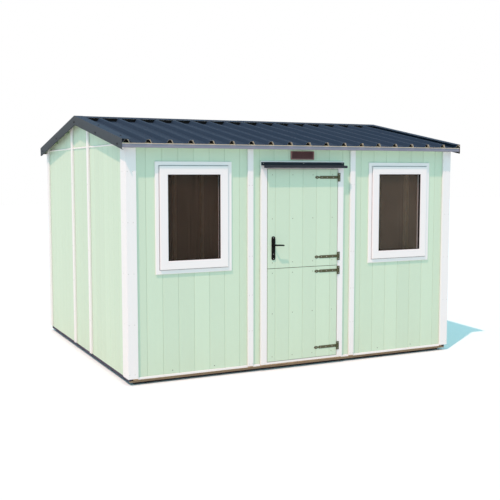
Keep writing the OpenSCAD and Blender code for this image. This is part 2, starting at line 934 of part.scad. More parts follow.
floor_deck();
floor_runners();
front_wall_left();
front_wall_right();
front_wall_beside_door();
front_wall_over_door();
back_wall();
left_wall();
right_wall();
left_gable();
right_gable();
wall_studs();
long_wall_rails();
side_wall_rails();
rafters();
ridge_beam();
purlins();
eaves_fillets();
front_roof_sheet();
back_roof_sheet();
ridge_cap();
left_verge_flashing();
right_verge_flashing();
eaves_trims();
corner_boards();
long_side_strips();
gable_strips();
base_trims();
left_window_casing();
left_window_sash();
left_window_pane();
right_window_casing();
right_window_sash();
right_window_pane();
door_posts();
door_head_and_sill();
door_hood();
door_vent();
hinge_plates();
upper_leaf();
upper_leaf_straps();
lower_leaf();
lower_leaf_straps();
handle_plate();
door_lever();
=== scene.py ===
"""Looks of a timber garden workshop, built round its packed construction model.

Every length is in metres, in the frame of the construction model: X along the front, Y from
front to back, Z up. Shapes are worked out as whole numpy arrays and then put into meshes.
"""

from __future__ import annotations

import json
import logging
import math
from dataclasses import dataclass, field
from enum import Enum
from typing import Callable, Sequence

import bmesh
import bpy
import numpy as np
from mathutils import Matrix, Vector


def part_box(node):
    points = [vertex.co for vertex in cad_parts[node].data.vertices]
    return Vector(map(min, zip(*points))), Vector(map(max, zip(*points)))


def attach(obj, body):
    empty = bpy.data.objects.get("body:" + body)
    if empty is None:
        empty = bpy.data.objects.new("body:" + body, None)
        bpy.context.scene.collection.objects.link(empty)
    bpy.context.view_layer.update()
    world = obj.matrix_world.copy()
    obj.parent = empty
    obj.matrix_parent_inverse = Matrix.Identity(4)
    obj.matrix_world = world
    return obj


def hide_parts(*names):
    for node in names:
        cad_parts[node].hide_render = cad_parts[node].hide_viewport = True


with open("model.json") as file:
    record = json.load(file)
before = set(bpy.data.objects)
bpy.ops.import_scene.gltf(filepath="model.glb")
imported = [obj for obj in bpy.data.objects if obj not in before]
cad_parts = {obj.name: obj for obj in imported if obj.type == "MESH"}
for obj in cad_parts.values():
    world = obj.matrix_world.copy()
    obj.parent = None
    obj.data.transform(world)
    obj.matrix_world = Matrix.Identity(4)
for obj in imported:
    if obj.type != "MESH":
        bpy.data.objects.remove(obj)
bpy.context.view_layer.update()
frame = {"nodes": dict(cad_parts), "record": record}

LOG = logging.getLogger("workshop")
SLOTS = {part["node"]: part["material_slot"] for part in frame["record"]["subparts"]}
BODIES = frame["record"]["behaviour"]["bodies"]
BODY_OF = {node: body for body, nodes in BODIES.items() for node in nodes}
FRONTWARD = (0.0, -1.0, 0.0)

Colour = tuple[float, float, float]
Box = tuple[Sequence[float], Sequence[float]]
Solid = tuple[np.ndarray, list[np.ndarray]]
Place = float | np.ndarray
Material = bpy.types.Material
Object = bpy.types.Object


def tint(red: float, green: float, blue: float) -> Colour:
    """Turns a display colour into the linear values that shaders take.

    Args:
        red: strength of the red channel, 0 to 255.
        green: the same for green.
        blue: the same for blue.

    Returns:
        The three channels, 0 to 1.
    """
    shares = np.array([red, green, blue], float) / 255
    linear = np.where(shares <= 0.04045, shares / 12.92, ((shares + 0.055) / 1.055) ** 2.4)
    return tuple(float(value) for value in linear)


def shade(colour: Colour, share: float) -> Colour:
    """Returns a colour with each channel multiplied by a share."""
    return tuple(channel * share for channel in colour)


# ---- Shader trees ----


def math_method(kind: str, turned: bool = False) -> Callable:
    """Returns a method of Wire that adds the Math node of a kind.

    Args:
        kind: the node's operation.
        turned: whether the other value comes first.

    Returns:
        The method.
    """

    def method(self: Wire, other: Wire | float = 0.0) -> Wire:
        """Returns the result of the two values."""
        pair = (other, self) if turned else (self, other)
        return self.maker.node("ShaderNodeMath", {"operation": kind}, dict(enumerate(pair)))

    return method


@dataclass(frozen=True)
class Wire:
    """One output in a shader tree, used in sums like a number."""

    maker: FinishTree
    socket: bpy.types.NodeSocket

    __add__ = math_method("ADD")
    __radd__ = math_method("ADD", turned=True)
    __sub__ = math_method("SUBTRACT")
    __rsub__ = math_method("SUBTRACT", turned=True)
    __mul__ = math_method("MULTIPLY")
    __rmul__ = math_method("MULTIPLY", turned=True)
    size = math_method("ABSOLUTE")
    least = math_method("MINIMUM")
    folded = math_method("PINGPONG")

    def ramp(self, low: float, high: float) -> Wire:
        """Returns the value taken from low..high to 0..1 and held there outside."""
        ports = {0: self, 1: low, 2: high, 3: 0.0, 4: 1.0}
        return self.maker.node("ShaderNodeMapRange", {"clamp": True}, ports)


class FinishTree:
    """A new material with one Principled shader, and the calls that feed it."""

    def __init__(self, name: str) -> None:
        """Makes the empty material.

        Args:
            name: the finish in a maker's plain words.
        """
        self.material = bpy.data.materials.new(name)
        self.material.use_nodes = True
        self.tree = self.material.node_tree
        self.tree.nodes.clear()
        self.shader = self.tree.nodes.new("ShaderNodeBsdfPrincipled")
        output = self.tree.nodes.new("ShaderNodeOutputMaterial")
        self.tree.links.new(self.shader.outputs[0], output.inputs["Surface"])
        self.place = self.node("ShaderNodeTexCoord", {}, {}, "Object")

    def node(self, kind: str, settings: dict, ports: dict, output: int | str = 0) -> Wire:
        """Adds one node.

        Args:
            kind: the node's type name.
            settings: properties to set on the node before its sockets.
            ports: values or wires by input name or number.
            output: name or number of the output to return.

        Returns:
            The output as a wire.
        """
        made = self.tree.nodes.new(kind)
        for key, value in settings.items():
            setattr(made, key, value)
        for key, value in ports.items():
            self.feed(made.inputs[key], value)
        return Wire(self, made.outputs[output])

    def feed(self, port: bpy.types.NodeSocket, value: object) -> None:
        """Links a wire to an input, or sets the input to a plain value.

        Args:
            port: the input.
            value: a wire, a number or a tuple.
        """
        if isinstance(value, Wire):
            self.tree.links.new(value.socket, port)
        elif isinstance(value, tuple) and len(port.default_value) == 4:
            port.default_value = (*value, 1.0)
        else:
            port.default_value = value

    def set(self, **ports: object) -> None:
        """Feeds the shader's inputs.

        Args:
            ports: values or wires by input name, in lower case with underscores.
        """
        names = {port.name.lower().replace(" ", "_"): port for port in self.shader.inputs}
        for key, value in ports.items():
            self.feed(names[key], value)

    def stretched(self, scale: tuple[float, float, float]) -> Wire:
        """Returns the object's own coordinates with each axis multiplied."""
        return self.node("ShaderNodeMapping", {}, {"Vector": self.place, "Scale": scale})

    def noise(self, stretch: tuple[float, float, float], detail: float = 3.0, twist: float = 0.0) -> Wire:
        """Returns a noise value about 0.5, with so many cells a metre along each axis."""
        ports = {"Vector": self.stretched(stretch), "Scale": 1.0, "Detail": detail, "Distortion": twist}
        return self.node("ShaderNodeTexNoise", {}, ports, 0)

    def axis(self, index: int) -> Wire:
        """Returns one object coordinate: 0, 1 or 2 for X, Y or Z."""
        return self.node("ShaderNodeSeparateXYZ", {}, {0: self.place}, index)

    def mark(self, name: str) -> Wire:
        """Returns a value stored on the mesh, point by point."""
        return self.node("ShaderNodeAttribute", {"attribute_name": name}, {}, "Fac")

    def mix(self, share: Wire | float, low: Wire | Colour, high: Wire | Colour) -> Wire:
        """Returns a colour between two, low at share 0 and high at share 1."""
        settings = {"data_type": "RGBA", "clamp_factor": True}
        return self.node("ShaderNodeMix", settings, {0: share, 6: low, 7: high}, 2)

    def varied(self, share: Wire | float, colour: Colour, low: float, high: float) -> Wire:
        """Returns a colour between low and high times its own strength."""
        return self.mix(share, shade(colour, low), shade(colour, high))

    def bump(self, height: Wire, distance: float, strength: float = 1.0) -> Wire:
        """Returns a normal from a height of 0 to 1 that stands for a distance."""
        ports = {"Strength": strength, "Distance": distance, "Height": height}
        return self.node("ShaderNodeBump", {}, ports, 0)


@dataclass(frozen=True)
class Finish:
    """A finish, named in a maker's plain words."""

    name: str

    def make(self) -> Material:
        """Returns the material."""
        tree = FinishTree(self.name)
        self.lay(tree)
        return tree.material

    def lay(self, tree: FinishTree) -> None:
        """Feeds the tree's shader."""
        raise NotImplementedError


@dataclass(frozen=True)
class PaintedBoards(Finish):
    """Opaque satin paint over boards, bare timber behind.

    The mesh carries four marks: tone for the board, recess in its grooves, bare on its back
    and start, which shifts the grain from board to board. The grooves are darkened as painted shade.
    """

    colour: Colour
    timber: Colour

    def lay(self, tree: FinishTree) -> None:
        """Feeds the tree's shader.

        Args:
            tree: the new material's tree.
        """
        shift = tree.mark("start")
        moved = tree.node("ShaderNodeCombineXYZ", {}, {0: shift, 1: shift * 0.7, 2: shift * 3.1})
        parts = {0: tree.stretched((34, 34, 1.3)), 1: moved}
        along = tree.node("ShaderNodeVectorMath", {"operation": "ADD"}, parts)
        ports = {"Vector": along, "Scale": 1.0, "Detail": 4.0, "Distortion": 0.4}
        grain = tree.node("ShaderNodeTexNoise", {}, ports)
        fibre = tree.noise((260, 260, 6), 2.0)
        cloud = tree.noise((0.9, 0.9, 0.5), 2.0)
        foot = (1 - tree.axis(2).ramp(0.05, 0.42)) * tree.noise((9, 9, 3), 3.0).ramp(0.35, 0.75)
        recess = tree.mark("recess")
        tone = tree.mark("tone")
        level = tone * 0.5 + (grain - 0.5) * 0.5 + (cloud - 0.5) * 0.35 + (fibre - 0.5) * 0.14 + 0.5
        paint = tree.varied(level, self.colour, 0.972, 1.028)
        paint = tree.mix(foot * 0.12, paint, tint(184, 196, 170))
        # painted shade: the paint is darkened in the grooves between boards
        paint = tree.mix(recess * 0.4, paint, shade(self.colour, 0.72))
        wood = tree.varied(grain.ramp(0.3, 0.7), self.timber, 0.72, 1.12)
        wood = tree.mix(tone * 0.5 + 0.5, wood, shade(self.timber, 0.9))
        bare = tree.mark("bare").ramp(0.45, 0.55)
        height = grain * 0.5 + fibre * 0.35 + 0.1
        tree.set(
            base_color=tree.mix(bare, paint, wood),
            roughness=0.46 + fibre * 0.1 + bare * 0.28,
            specular_ior_level=0.35,
            normal=tree.bump(height, 0.0009, 0.55),
        )


@dataclass(frozen=True)
class PaintedTrim(Finish):
    """White satin paint on planed trim, with painted shade where its sides meet the boards.

    The outermost faces lie at edge_x and edge_y. The painted shade is a thin dark line where the sides
    end on the boards, at the given depth under the nearer of the two.
    """

    colour: Colour
    edge_x: float
    edge_y: float
    depth: float = 0.0198
    grain_axis: int = 2

    def lay(self, tree: FinishTree) -> None:
        """Feeds the tree's shader.

        Args:
            tree: the new material's tree.
        """
        fine, coarse = 210.0, 2.5
        stretch = tuple(coarse if index == self.grain_axis else fine for index in range(3))
        grain = tree.noise(stretch, 3.0, 0.2)
        cloud = tree.noise((2.2, 2.2, 0.8), 3.0)
        under = (self.edge_x - tree.axis(0).size()).least(self.edge_y - tree.axis(1).size())
        begins = under.ramp(self.depth - 0.0035, self.depth)
        painted_contact_shade = begins * (1 - under.ramp(self.depth + 0.0005, self.depth + 0.003))
        foot = (1 - tree.axis(2).ramp(0.05, 0.34)) * tree.noise((7, 7, 4), 4.0).ramp(0.38, 0.72)
        level = (grain - 0.5) * 0.6 + (cloud - 0.5) * 0.5 + 0.5
        paint = tree.varied(level, self.colour, 0.965, 1.02)
        paint = tree.mix(foot * 0.12, paint, tint(200, 196, 182))
        # painted shade: a dark line in the corner where the trim's sides meet the boards
        paint = tree.mix(painted_contact_shade * 0.7, paint, tint(120, 132, 124))
        tree.set(
            base_color=paint,
            roughness=0.42 + grain * 0.1 + painted_contact_shade * 0.2,
            specular_ior_level=0.35,
            normal=tree.bump(grain, 0.0006, 0.4),
        )


@dataclass(frozen=True)
class WindowProfile(Finish):
    """Smooth white extruded window profile with a faint film of dust and a painted shadow line."""

    colour: Colour

    def lay(self, tree: FinishTree) -> None:
        """Feeds the tree's shader.

        Args:
            tree: the new material's tree.
        """
        film = tree.noise((3, 3, 2), 4.0).ramp(0.35, 0.8)
        speck = tree.noise((380, 380, 380), 1.0)
        recess = tree.mark("recess")
        skin = tree.mix(film * 0.35, self.colour, shade(self.colour, 0.955))
        # painted shade: a grey shadow line where the recess mark is set
        skin = tree.mix(recess, skin, tint(140, 145, 152))
        tree.set(
            base_color=skin,
            roughness=0.3 + film * 0.12 + speck * 0.05,
            specular_ior_level=0.4,
            normal=tree.bump(speck, 0.00015, 0.3),
        )


@dataclass(frozen=True)
class CoatedSteel(Finish):
    """Fine leathery coating on folded steel, with dust that has run down the fall.

    The mesh mark under is 1 on the back of the sheet, which has its own primer colour, and the
    mark flat is 1 where the steel lies on the slope; its flat colour there is painted light on the upward
    face.
    """

    colour: Colour
    backing: Colour
    flat: Colour
    fall: tuple[float, float, float] = (22.0, 1.2, 1.2)
    gloss: float = 0.03

    def lay(self, tree: FinishTree) -> None:
        """Feeds the tree's shader.

        Args:
            tree: the new material's tree.
        """
        leather = tree.noise((900, 900, 900), 2.0)
        streak = tree.noise(self.fall, 4.0, 0.3)
        cloud = tree.noise((0.8, 1.1, 1.1), 3.0)
        dust = streak.ramp(0.42, 0.85) * 0.5 + cloud.ramp(0.45, 0.8) * 0.35
        level = (cloud - 0.5) * 0.8 + (leather - 0.5) * 0.3 + 0.5
        # painted light: the flat colour sets the upward faces apart from the upright ones
        base = tree.mix(tree.mark("flat"), self.colour, self.flat)
        skin = tree.mix(level.ramp(0.5, 1.0) * 0.12, base, shade(self.flat, 1.7))
        skin = tree.mix((1 - level.ramp(0.0, 0.5)) * 0.16, skin, shade(self.colour, 0.5))
        skin = tree.mix(dust * 0.07, skin, tint(122, 134, 144))
        under = tree.mark("under").ramp(0.45, 0.55)
        lining = tree.varied(cloud, self.backing, 0.9, 1.05)
        tree.set(
            base_color=tree.mix(under, skin, lining),
            roughness=0.7 + dust * 0.14 + leather * 0.06,
            specular_ior_level=self.gloss,
            normal=tree.bump(leather, 0.00012, 0.35),
        )


class Grain(Enum):
    """The way the fibres of a piece of timber run."""

    ALONG_X = 0
    ALONG_Y = 1
    ALONG_Z = 2


@dataclass(frozen=True)
class Timber(Finish):
    """Softwood with growth rings drawn out along the grain, fibres and a few knots.

    Where it runs out past painted_from, counted along X from the middle, it takes a dark green: outside
    paint, darkened as painted shade.
    """

    light: Colour
    dark: Colour
    grain: Grain
    weathered: float = 0.0
    painted_from: float = 9.0
    shaded_end_paint: Colour = tint(140, 166, 134)

    def lay(self, tree: FinishTree) -> None:
        """Feeds the tree's shader.

        Args:
            tree: the new material's tree.
        """

        def stretch(across: float, along: float) -> tuple[float, ...]:
            """Returns cells a metre on each axis, few along the grain."""
            return tuple(along if index == self.grain.value else across for index in range(3))

        bend = tree.noise(stretch(9, 0.8), 3.0, 0.6)
        rings = (bend * 26.0).folded(1.0).ramp(0.15, 0.9)
        fibre = tree.noise(stretch(420, 9), 3.0)
        blotch = tree.noise(stretch(5, 1.2), 3.0)
        ports = {"Vector": tree.stretched(stretch(7.5, 2.1)), "Scale": 1.0, "Randomness": 1.0}
        cells = tree.node("ShaderNodeTexVoronoi", {"feature": "F1"}, ports, "Distance")
        knot = 1 - cells.ramp(0.05, 0.13)
        wood = tree.mix(rings * 0.55 + fibre * 0.35, self.light, self.dark)
        wood = tree.mix(blotch.ramp(0.35, 0.75) * 0.35, wood, shade(self.dark, 0.85))
        wood = tree.mix(knot * 0.75, wood, shade(self.dark, 0.42))
        grey = tree.mix(fibre, tint(96, 90, 80), tint(126, 118, 106))
        # painted shade: ends outside the walls take the darkened green of shade under the verge
        outside = tree.axis(0).size().ramp(self.painted_from, self.painted_from + 0.001)
        tree.set(
            base_color=tree.mix(outside, tree.mix(blotch * self.weathered, wood, grey), self.shaded_end_paint),
            roughness=0.66 + fibre * 0.16,
            specular_ior_level=0.25,
            normal=tree.bump(fibre * 0.6 + rings * 0.3, 0.0008, 0.6),
        )


@dataclass(frozen=True)
class SmallMetal(Finish):
    """Coated or plated metal of furniture and fixings, worn a little in patches."""

    colour: Colour
    worn: Colour
    metallic: float = 0.2
    rough: float = 0.48
    gloss: float = 0.4

    def lay(self, tree: FinishTree) -> None:
        """Feeds the tree's shader.

        Args:
            tree: the new material's tree.
        """
        cast = tree.noise((230, 230, 230), 3.0)
        cloud = tree.noise((26, 26, 26), 3.0)
        skin = tree.varied(cast, self.colour, 0.82, 1.2)
        wear = (cloud.ramp(0.6, 0.78) * cast).ramp(0.1, 0.8)
        tree.set(
            base_color=tree.mix(wear * 0.5, skin, self.worn),
            metallic=self.metallic,
            roughness=self.rough + cloud * 0.12,
            specular_ior_level=self.gloss,
            normal=tree.bump(cast, 0.00025, 0.4),
        )


@dataclass(frozen=True)
class LouvreVent(Finish):
    """Moulded louvre vent: a rim drawn lighter than its darker blades, painted light on the rim.

    A place is on the rim when it lies within its width of the vent's sides or foot.
    """

    rim: Colour
    blade: Colour
    middle: tuple[float, float]
    half: tuple[float, float]
    width: float = 0.012

    def lay(self, tree: FinishTree) -> None:
        """Feeds the tree's shader.

        Args:
            tree: the new material's tree.
        """
        speck = tree.noise((300, 300, 300), 2.0)
        mottle = tree.noise((40, 40, 18), 3.0)
        across, down = (half - self.width for half in self.half)
        side = (tree.axis(0) - self.middle[0]).size().ramp(across, across + 0.001)
        foot = (self.middle[1] - tree.axis(2)).ramp(down, down + 0.001)
        painted_lit_rim = 1 - (1 - side) * (1 - foot)
        rim = tree.varied(mottle, self.rim, 0.88, 1.12)
        blade = tree.varied(mottle, self.blade, 0.85, 1.15)
        tree.set(
            # painted light: the rim at the sides and foot is lighter than the blades
            base_color=tree.mix(painted_lit_rim, blade, rim),
            roughness=0.55 + speck * 0.15,
            specular_ior_level=0.15,
            normal=tree.bump(speck, 0.0002, 0.4),
        )


@dataclass(frozen=True)
class PaneGlass(Finish):
    """Clear pane that lets most light through, with a light film of dust in patches."""

    colour: Colour
    cover: float

    def lay(self, tree: FinishTree) -> None:
        """Feeds the tree's shader.

        Args:
            tree: the new material's tree.
        """
        film = tree.noise((4, 4, 3), 4.0).ramp(0.4, 0.85)
        tree.set(
            base_color=tree.mix(film, self.colour, shade(self.colour, 1.25)),
            roughness=0.03 + film * 0.05,
            specular_ior_level=0.3,
            alpha=self.cover + film * 0.06,
        )


@dataclass(frozen=True)
class Rubber(Finish):
    """Black gasket, and black blocks that paint the shade in dark gaps, matt, with a trace of dust."""

    colour: Colour

    def lay(self, tree: FinishTree) -> None:
        """Feeds the tree's shader.

        Args:
            tree: the new material's tree.
        """
        dust = tree.noise((60, 60, 14), 3.0)
        tree.set(
            base_color=tree.mix(dust.ramp(0.5, 0.9) * 0.5, self.colour, shade(self.colour, 2.2)),
            roughness=0.7 + dust * 0.15,
            specular_ior_level=0.25,
            normal=tree.bump(dust, 0.0002, 0.4),
        )


# ---- Shapes as arrays ----


@dataclass
class Shape:
    """Closed solids gathered as arrays until they become one mesh."""

    points: list[np.ndarray] = field(default_factory=list)
    faces: list[np.ndarray] = field(default_factory=list)
    marks: dict[str, list[np.ndarray]] = field(default_factory=dict)
    count: int = 0

    def add(self, points: np.ndarray, faces: Sequence[np.ndarray], **marks: Place) -> None:
        """Adds a closed solid, turned so that its faces point outwards.

        The volume is the sum over the faces' triangles of the triple product of their corners;
        where it is negative, every face is turned round.

        Args:
            points: places, one row each.
            faces: arrays of corner numbers, one row a face, each array of one number of corners.
            marks: values stored on the points, one number or one a point.
        """
        volume = 0.0
        for block in faces:
            corner = points[block]
            fan = np.cross(corner[:, 1:-1], corner[:, 2:])
            volume += float(np.einsum("ijk,ik->", fan, corner[:, 0]))
        turn = -1 if volume < 0 else 1
        self.points.append(points)
        self.faces.extend(block[:, ::turn] + self.count for block in faces)
        for name in set(marks) | set(self.marks):
            value = np.broadcast_to(np.asarray(marks.get(name, 0.0), float), len(points))
            self.marks.setdefault(name, [np.zeros(self.count)] if self.count else []).append(value)
        self.count += len(points)

    def add_sheet(self, front: np.ndarray, back: np.ndarray, **marks: Place) -> None:
        """Adds the thin sheet between two grids of points, with the mark under at 1 on its back."""
        under = np.repeat([0.0, 1.0], front[..., 0].size)
        self.add(*grid_solid(front, back), under=under, **marks)

    def object(self, name: str, material: Material, smooth: float | None = None) -> Object:
        """Makes the mesh and its object.

        Args:
            name: the piece's name.
            material: its finish.
            smooth: edges under this angle in degrees are shaded round; None leaves all flat.

        Returns:
            The object, at the origin and unturned.
        """
        data = bpy.data.meshes.new(name)
        rows = [row for block in self.faces for row in block.tolist()]
        data.from_pydata(np.concatenate(self.points).tolist(), [], rows)
        for mark, values in self.marks.items():
            stored = data.attributes.new(mark, "FLOAT", "POINT").data
            stored.foreach_set("value", np.concatenate(values).astype(np.float32))
        data.materials.append(material)
        if smooth is not None:
            data.polygons.foreach_set("use_smooth", np.ones(len(rows), bool))
            data.set_sharp_from_angle(angle=math.radians(smooth))
        data.update()
        return place_object(name, data)


def place_object(name: str, data: bpy.types.ID) -> Object:
    """Makes an object and links it to the scene.

    Args:
        name: the object's name.
        data: its mesh, light or camera.

    Returns:
        The object.
    """
    made = bpy.data.objects.new(name, data)
    bpy.context.scene.collection.objects.link(made)
    return made


def single(name: str, solid: Solid, material: Material, smooth: float | None = None) -> Object:
    """Makes a piece of one closed solid, as Shape does of many.

    Args:
        name: the piece's name.
        solid: its points and face arrays.
        material: its finish.
        smooth: as Shape.object takes it.

    Returns:
        The piece.
    """
    shape = Shape()
    shape.add(*solid)
    return shape.object(name, material, smooth)


def grid_solid(front: np.ndarray, back: np.ndarray, keep: np.ndarray | None = None) -> Solid:
    """Closes two matching grids of points into a solid.

    Each kept cell gives one face in front and one behind, and each edge between a kept cell and
    one left out, or the border, gives a wall from front to back.

    Args:
        front: rows by columns by 3 places.
        back: the same for the other side.
        keep: rows-1 by columns-1, False where a cell is left out.

    Returns:
        The points, and the list of face arrays.
    """
    rows, columns = front.shape[:2]
    keep = np.ones((rows - 1, columns - 1), bool) if keep is None else keep
    number = np.arange(rows * columns).reshape(rows, columns)
    corners = np.stack([number[:-1, :-1], number[:-1, 1:], number[1:, 1:], number[1:, :-1]], axis=-1)
    behind = rows * columns
    edge = np.pad(keep, 1)
    open_sides = {
        (1, 0): keep & ~edge[:-2, 1:-1],
        (2, 1): keep & ~edge[1:-1, 2:],
        (3, 2): keep & ~edge[2:, 1:-1],
        (0, 3): keep & ~edge[1:-1, :-2],
    }
    faces = [corners[keep], corners[keep][:, ::-1] + behind]
    for (start, end), mask in open_sides.items():
        pair = corners[mask][:, [start, end]]
        faces.append(np.concatenate([pair, pair[:, ::-1] + behind], axis=1))
    quads = np.concatenate(faces)
    used, flat = np.unique(quads, return_inverse=True)
    points = np.concatenate([front.reshape(-1, 3), back.reshape(-1, 3)])[used]
    return points, [flat.reshape(quads.shape)]


def swept_solid(rings: np.ndarray, closed: bool = False) -> Solid:
    """Joins closed sections along a path.

    Face k of section i runs from its point k to k+1 and on to the same points of section i+1;
    an open path is capped by its first and last sections.

    Args:
        rings: sections by points by 3 places.
        closed: whether the last section joins the first.

    Returns:
        The points, and the list of face arrays.
    """
    stations, around = rings.shape[:2]
    number = np.arange(stations * around).reshape(stations, around)
    ahead = np.roll(number, -1, axis=1)
    if closed:
        low, high = number, np.roll(number, -1, axis=0)
        low_ahead, high_ahead = ahead, np.roll(ahead, -1, axis=0)
    else:
        low, high, low_ahead, high_ahead = number[:-1], number[1:], ahead[:-1], ahead[1:]
    faces = [np.stack([low, low_ahead, high_ahead, high], axis=-1).reshape(-1, 4)]
    if not closed:
        faces += [number[:1, ::-1], number[-1:]]
    return rings.reshape(-1, 3), faces


def boxes(lows: np.ndarray, highs: np.ndarray) -> Solid:
    """Makes one box for each pair of corners, all at once.

    Args:
        lows: n by 3 lowest corners.
        highs: n by 3 highest corners.

    Returns:
        The points, and the list of face arrays.
    """
    lows, highs = np.atleast_2d(np.asarray(lows, float)), np.atleast_2d(np.asarray(highs, float))
    pick = np.array([[i >> 2 & 1, i >> 1 & 1, i & 1] for i in range(8)], float)
    points = lows[:, None] * (1 - pick) + highs[:, None] * pick
    sides = np.array([[0, 1, 3, 2], [4, 6, 7, 5], [0, 4, 5, 1], [2, 3, 7, 6], [0, 2, 6, 4], [1, 5, 7, 3]])
    faces = sides[None] + 8 * np.arange(len(lows))[:, None, None]
    return points.reshape(-1, 3), [faces.reshape(-1, 4)]


def repeated(points: np.ndarray, faces: Sequence[np.ndarray], moves: np.ndarray) -> Solid:
    """Sets the same solid at every move, all at once.

    Args:
        points: the solid's points.
        faces: its face arrays.
        moves: n by 3 shifts.

    Returns:
        The points, and the list of face arrays.
    """
    spread = moves[:, None] + points[None]
    step = len(points) * np.arange(len(moves))[:, None, None]
    return spread.reshape(-1, 3), [(block[None] + step).reshape(-1, block.shape[1]) for block in faces]


def turned_heads(centres: np.ndarray, outward: Sequence[float], profile: np.ndarray, sides: int) -> Solid:
    """Makes one turned solid at each place, such as a nail head.

    A profile of (radius, height) pairs is turned about the outward direction, and the same solid
    is set at every centre; its first and last rings are closed by flat faces.

    Args:
        centres: n by 3 places on the surface.
        outward: direction that the heads face.
        profile: k by 2 radii and heights, from the surface outwards.
        sides: flats round the head.

    Returns:
        The points, and the list of face arrays.
    """
    centres = np.atleast_2d(np.asarray(centres, float))
    axis = np.asarray(outward, float) / np.linalg.norm(outward)
    helper = np.array([0.0, 0.0, 1.0]) if abs(axis[2]) < 0.9 else np.array([1.0, 0.0, 0.0])
    first = np.cross(helper, axis)
    first /= np.linalg.norm(first)
    second = np.cross(axis, first)
    angle = 2 * np.pi * np.arange(sides) / sides
    circle = np.cos(angle)[:, None] * first + np.sin(angle)[:, None] * second
    rings = profile[:, 0][:, None, None] * circle + profile[:, 1][:, None, None] * axis
    points, faces = swept_solid(rings)
    return repeated(points, faces, centres)


def rounded_line(corners: np.ndarray, radius: float, steps: int = 5) -> np.ndarray:
    """Returns a bent line with each inner corner turned into a short curve.

    At a corner P the curve starts and ends a tangent length r tan(turn / 2) away and follows
    (1-t)^2 A + 2t(1-t) P + t^2 B, with the length held under 0.45 of the shorter side.

    Args:
        corners: n by 2 corners.
        radius: radius of the bends.
        steps: points on each bend.

    Returns:
        The points of the bent line.
    """
    corners = np.asarray(corners, float)
    leg = np.diff(corners, axis=0)
    length = np.linalg.norm(leg, axis=1)
    way = leg / length[:, None]
    turn = np.arccos(np.clip(np.sum(way[:-1] * way[1:], axis=1), -1, 1))
    reach = np.minimum(radius * np.tan(turn / 2), 0.45 * np.minimum(length[:-1], length[1:]))
    t = np.linspace(0, 1, steps)[None, :, None]
    middle = corners[1:-1][:, None]
    start = middle - (reach[:, None] * way[:-1])[:, None]
    end = middle + (reach[:, None] * way[1:])[:, None]
    curve = (1 - t) ** 2 * start + 2 * t * (1 - t) * middle + t**2 * end
    return np.concatenate([corners[:1], curve.reshape(-1, 2), corners[-1:]])


def offset_line(line: np.ndarray, distance: float) -> np.ndarray:
    """Moves a line sideways, to the left of its own direction.

    Args:
        line: n by 2 places.
        distance: how far it moves.

    Returns:
        The moved places.
    """
    way = np.gradient(line, axis=0)
    way /= np.linalg.norm(way, axis=1)[:, None]
    return line + distance * np.stack([-way[:, 1], way[:, 0]], axis=1)


def folded_strip(corners: Sequence, radius: float, steps: int, metal: float, x: np.ndarray) -> list:
    """Returns both faces of a strip that is folded across and runs along X.

    Args:
        corners: (Y, Z) corners of its outer line.
        radius: radius of the folds.
        steps: points on each fold.
        metal: its thickness, to the left of the line's own direction.
        x: places of its sections.

    Returns:
        The outer and the inner face, each sections by points by 3.
    """
    outer = rounded_line(corners, radius, steps)
    lines = (outer, offset_line(outer, metal))
    return [np.stack(np.broadcast_arrays(x[:, None], *line.T), axis=-1) for line in lines]


def in_pairs(middles: Sequence[float], spread: float) -> np.ndarray:
    """Returns two places for each middle, one a spread before it and one a spread after."""
    return (np.array(middles)[:, None] + np.array([-spread, spread])).ravel()


def on_front(columns: np.ndarray, levels: np.ndarray, y: float) -> np.ndarray:
    """Returns a point for each column on each level of an upright plane that faces the front."""
    x, z = np.meshgrid(columns, levels)
    return np.stack([x.ravel(), np.full(x.size, y), z.ravel()], axis=1)


def settle(piece: Object, body: str, slot: str, *nodes: str) -> Object:
    """Rides a piece on a body, hides the nodes it stands for, and logs it.

    Args:
        piece: the piece.
        body: the body it moves with.
        slot: not used.
        nodes: construction nodes that it replaces.

    Returns:
        The piece.
    """
    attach(piece, body)
    if nodes:
        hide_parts(*nodes)
    LOG.info("%s: %d points on %s", piece.name, len(piece.data.vertices), body)
    return piece


def ease_edges(piece: Object, width: float, segments: int = 2) -> Object:
    """Rounds a piece's sharp edges with a bevel.

    Args:
        piece: the piece.
        width: width of the bevel.
        segments: steps across it.

    Returns:
        The piece.
    """
    bevel = piece.modifiers.new("eased edges", "BEVEL")
    bevel.width = width
    bevel.segments = segments
    bevel.limit_method = "ANGLE"
    bevel.angle_limit = math.radians(30)
    bevel.harden_normals = False
    return piece


def eased_copy(node: str, width: float, material: Material, segments: int = 2) -> Object:
    """Makes a copy of a construction node with its edges eased, which stands for the node.

    Args:
        node: the construction node.
        width: width of the eased edge.
        material: the copy's finish.
        segments: steps across the eased edge.

    Returns:
        The new piece, riding on the node's body.
    """
    data = bpy.data.meshes.new(node + "_eased")
    build = bmesh.new()
    build.from_mesh(frame["nodes"][node].data)
    bmesh.ops.remove_doubles(build, verts=build.verts, dist=2e-6)
    bmesh.ops.dissolve_limit(build, angle_limit=math.radians(1.0), verts=build.verts, edges=build.edges)
    build.to_mesh(data)
    build.free()
    data.materials.append(material)
    data.shade_flat()
    piece = ease_edges(place_object(data.name, data), width, segments)
    return settle(piece, BODY_OF[node], SLOTS[node], node)


# ---- The building's own planes ----


class Side(Enum):
    """A wall, as seen from outside."""

    FRONT = "front"
    BACK = "back"
    LEFT = "left"
    RIGHT = "right"


